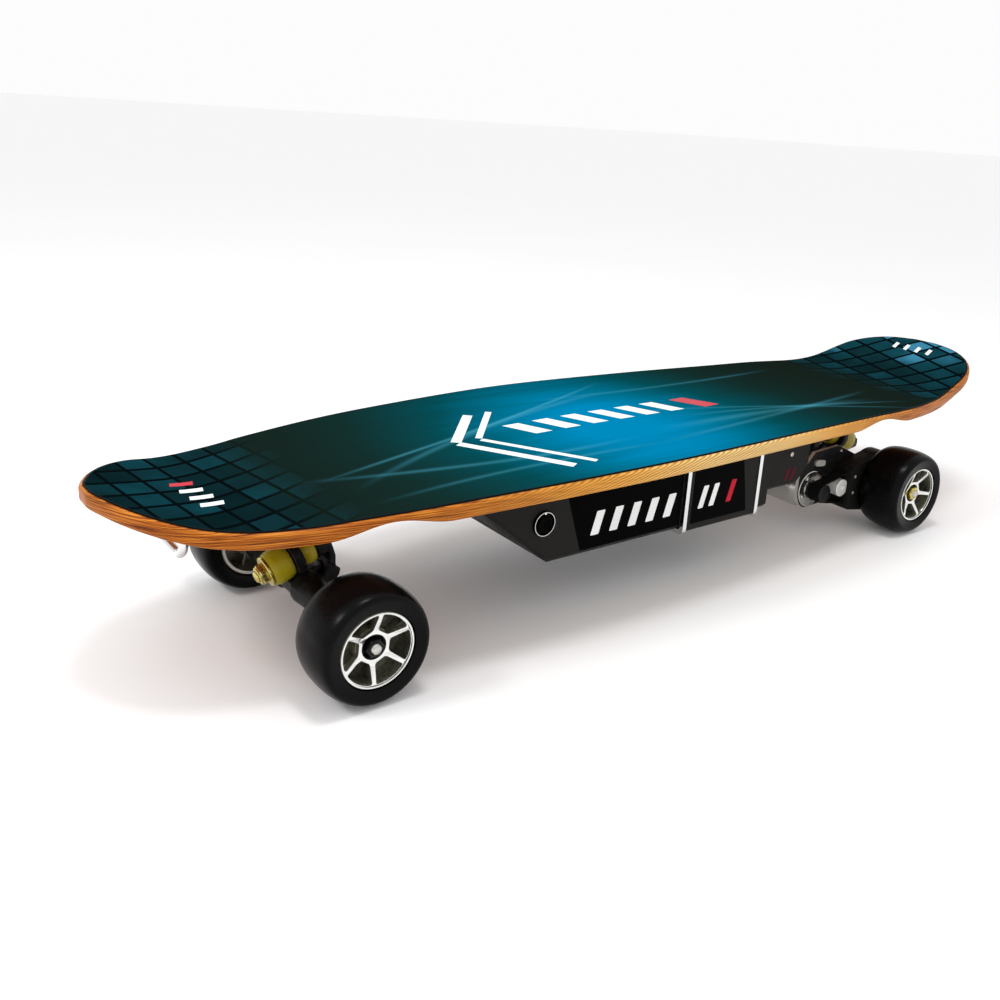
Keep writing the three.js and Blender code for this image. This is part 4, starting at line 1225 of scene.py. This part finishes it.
def charge_port():
    """The charge socket and its flap, facing the board's right."""
    middle = centre("charge_socket")
    outward = shift((middle.x, corners("charge_socket")[0].y, middle.z)) @ turned(pi, "X")
    socket = Shape()
    socket.turn([(0, -8.0), (0, -11.2), (6.9, -11.2), (6.9, -2.8), (8.9, -2.5), (8.9, -0.5), (8.3, 0),
                 (2.3, 0), (1.9, -0.4), (1.9, -8.0)], 0, outward, 56)
    socket.turn([(0, -8.2), (0.7, -8.2), (0.7, -1.6), (0.3, -1.2), (0, -1.2)], 1, outward, 20)
    make("charge_socket_moulded", socket, "board", ("rubber", "steel"), "charge_socket",
         sharp=30)
    outward = shift((middle.x, corners("charge_cap")[1].y, middle.z)) @ turned(pi, "X")
    flap = Shape()
    flap.turn([(0, 0.1), (9.0, 0.1), (9.4, 0.5), (9.3, 1.6), (8.6, 2.4), (7.2, 2.6), (3.4, 2.5), (3.0, 2.2),
               (0, 2.2)], 0, outward, 64)
    flap.slab(wedge(3.9, -12.0, 3.9, -6.0, 1.2, 3), 0.15, 1.7, 0, outward)
    make("charge_flap", flap, "cap", "rubber", "charge_cap", bevel=0.2, sharp=30)


def carry_handle():
    low, high = corners("carry_handle")
    x = centre("carry_handle").x
    rod, bend = 3.3, 14.0
    half = halves("carry_handle").y - 9.0
    bottom, top = low.z + rod, high.z - 0.3
    path = [(x, -half, top)]
    for side, first in ((-1, 0), (1, 90)):
        for k in range(13):
            a = radians(first + 90 * k / 12)
            path.append((x, side * (half - bend) - bend * cos(a), bottom + bend - bend * sin(a)))
    path.append((x, half, top))
    shape = Shape().sweep(path, circle(rod, 28))
    lip = under_deck(x) - 0.6
    for side in (1, -1):
        foot = shift((x, side * half, 0)) @ turned(pi / 2, "X")
        shape.turn([(3.6, lip), (8.8, lip), (8.9, lip - 0.4), (8.7, lip - 3.0), (7.6, lip - 4.6),
                    (5.2, lip - 5.6), (4.3, lip - 7.0), (3.6, lip - 7.0)], 0, foot, 48)
    make("carry_handle_rod", shape, "board", "chrome", "carry_handle", sharp=50)


def build():
    deck()
    printed_sheet()
    bar_marks()
    wheels()
    trucks()
    motor()
    motor_plate()
    wheel_pulley()
    drive_belt()
    belt_guard()
    battery_box()
    labels()
    hoop("box_strap", "strap_band", "plastic", 0.5)
    hoop("front_trim", "trim_front", "chrome", 0.7)
    hoop("rear_trim", "trim_rear", "chrome", 0.7)
    controller_cover()
    inner_pieces()
    power_button()
    charge_port()
    carry_handle()


build()


# ---- camera, light and floor ----
EYE = Vector((656.7, 680.4, 402.5))
HEADING = radians(38.18)
TILT = radians(17.05)
ROLL = radians(3.74)
SENSOR = 36.0
LENS = 36.76
SHIFT = (-0.0273, -0.0674)


def camera():
    ahead = Vector((-sin(HEADING) * cos(TILT), -cos(HEADING) * cos(TILT), -sin(TILT)))
    level = Vector((-cos(HEADING), sin(HEADING), 0))
    above = level.cross(ahead)
    right = level * cos(ROLL) + above * sin(ROLL)
    up = above * cos(ROLL) - level * sin(ROLL)
    lens = bpy.data.cameras.new("camera")
    lens.sensor_width = SENSOR
    lens.lens = LENS
    lens.shift_x, lens.shift_y = SHIFT
    lens.clip_start = 0.02
    view = link("camera", lens)
    view.matrix_world = Matrix([(right[k], up[k], -ahead[k], EYE[k] * MM) for k in range(3)] + [(0, 0, 0, 1)])
    bpy.context.scene.camera = view


def soft_light(name, at, size, power, target=(0, 0, 60)):
    lamp = bpy.data.lights.new(name, "AREA")
    lamp.shape = "RECTANGLE"
    lamp.size, lamp.size_y = size
    lamp.energy = power
    holder = link(name, lamp)
    place = Vector(at) * MM
    holder.location = place
    holder.rotation_mode = "QUATERNION"
    holder.rotation_quaternion = (Vector(target) * MM - place).to_track_quat("-Z", "Y")


def studio():
    world = bpy.data.worlds.new("studio")
    world.use_nodes = True
    color, strength = world.node_tree.nodes["Background"].inputs[:2]
    color.default_value, strength.default_value = (1.0, 1.0, 1.0, 1.0), 0.98
    bpy.context.scene.world = world
    soft_light("key", (250, 230, 1880), (0.45, 0.3), 9.0)
    soft_light("nose", (1590, -170, 1370), (0.32, 0.32), 9.0)

    half = 60.0
    verts = [(-half, -half, 0), (half, -half, 0), (half, half, 0), (-half, half, 0)]
    mesh = bpy.data.meshes.new("floor")
    mesh.from_pydata(verts, [], [(0, 1, 2, 3)])
    n = Nodes("studio_floor")
    n.set(Base_Color=n.mix(n.noise(3.0, 2.0), (0.93, 0.93, 0.935), (0.95, 0.95, 0.95)), Roughness=0.8)
    mesh.materials.append(n.material)
    floor = link("floor", mesh)
    bpy.context.scene.view_settings.view_transform = "Standard"


camera()
studio()
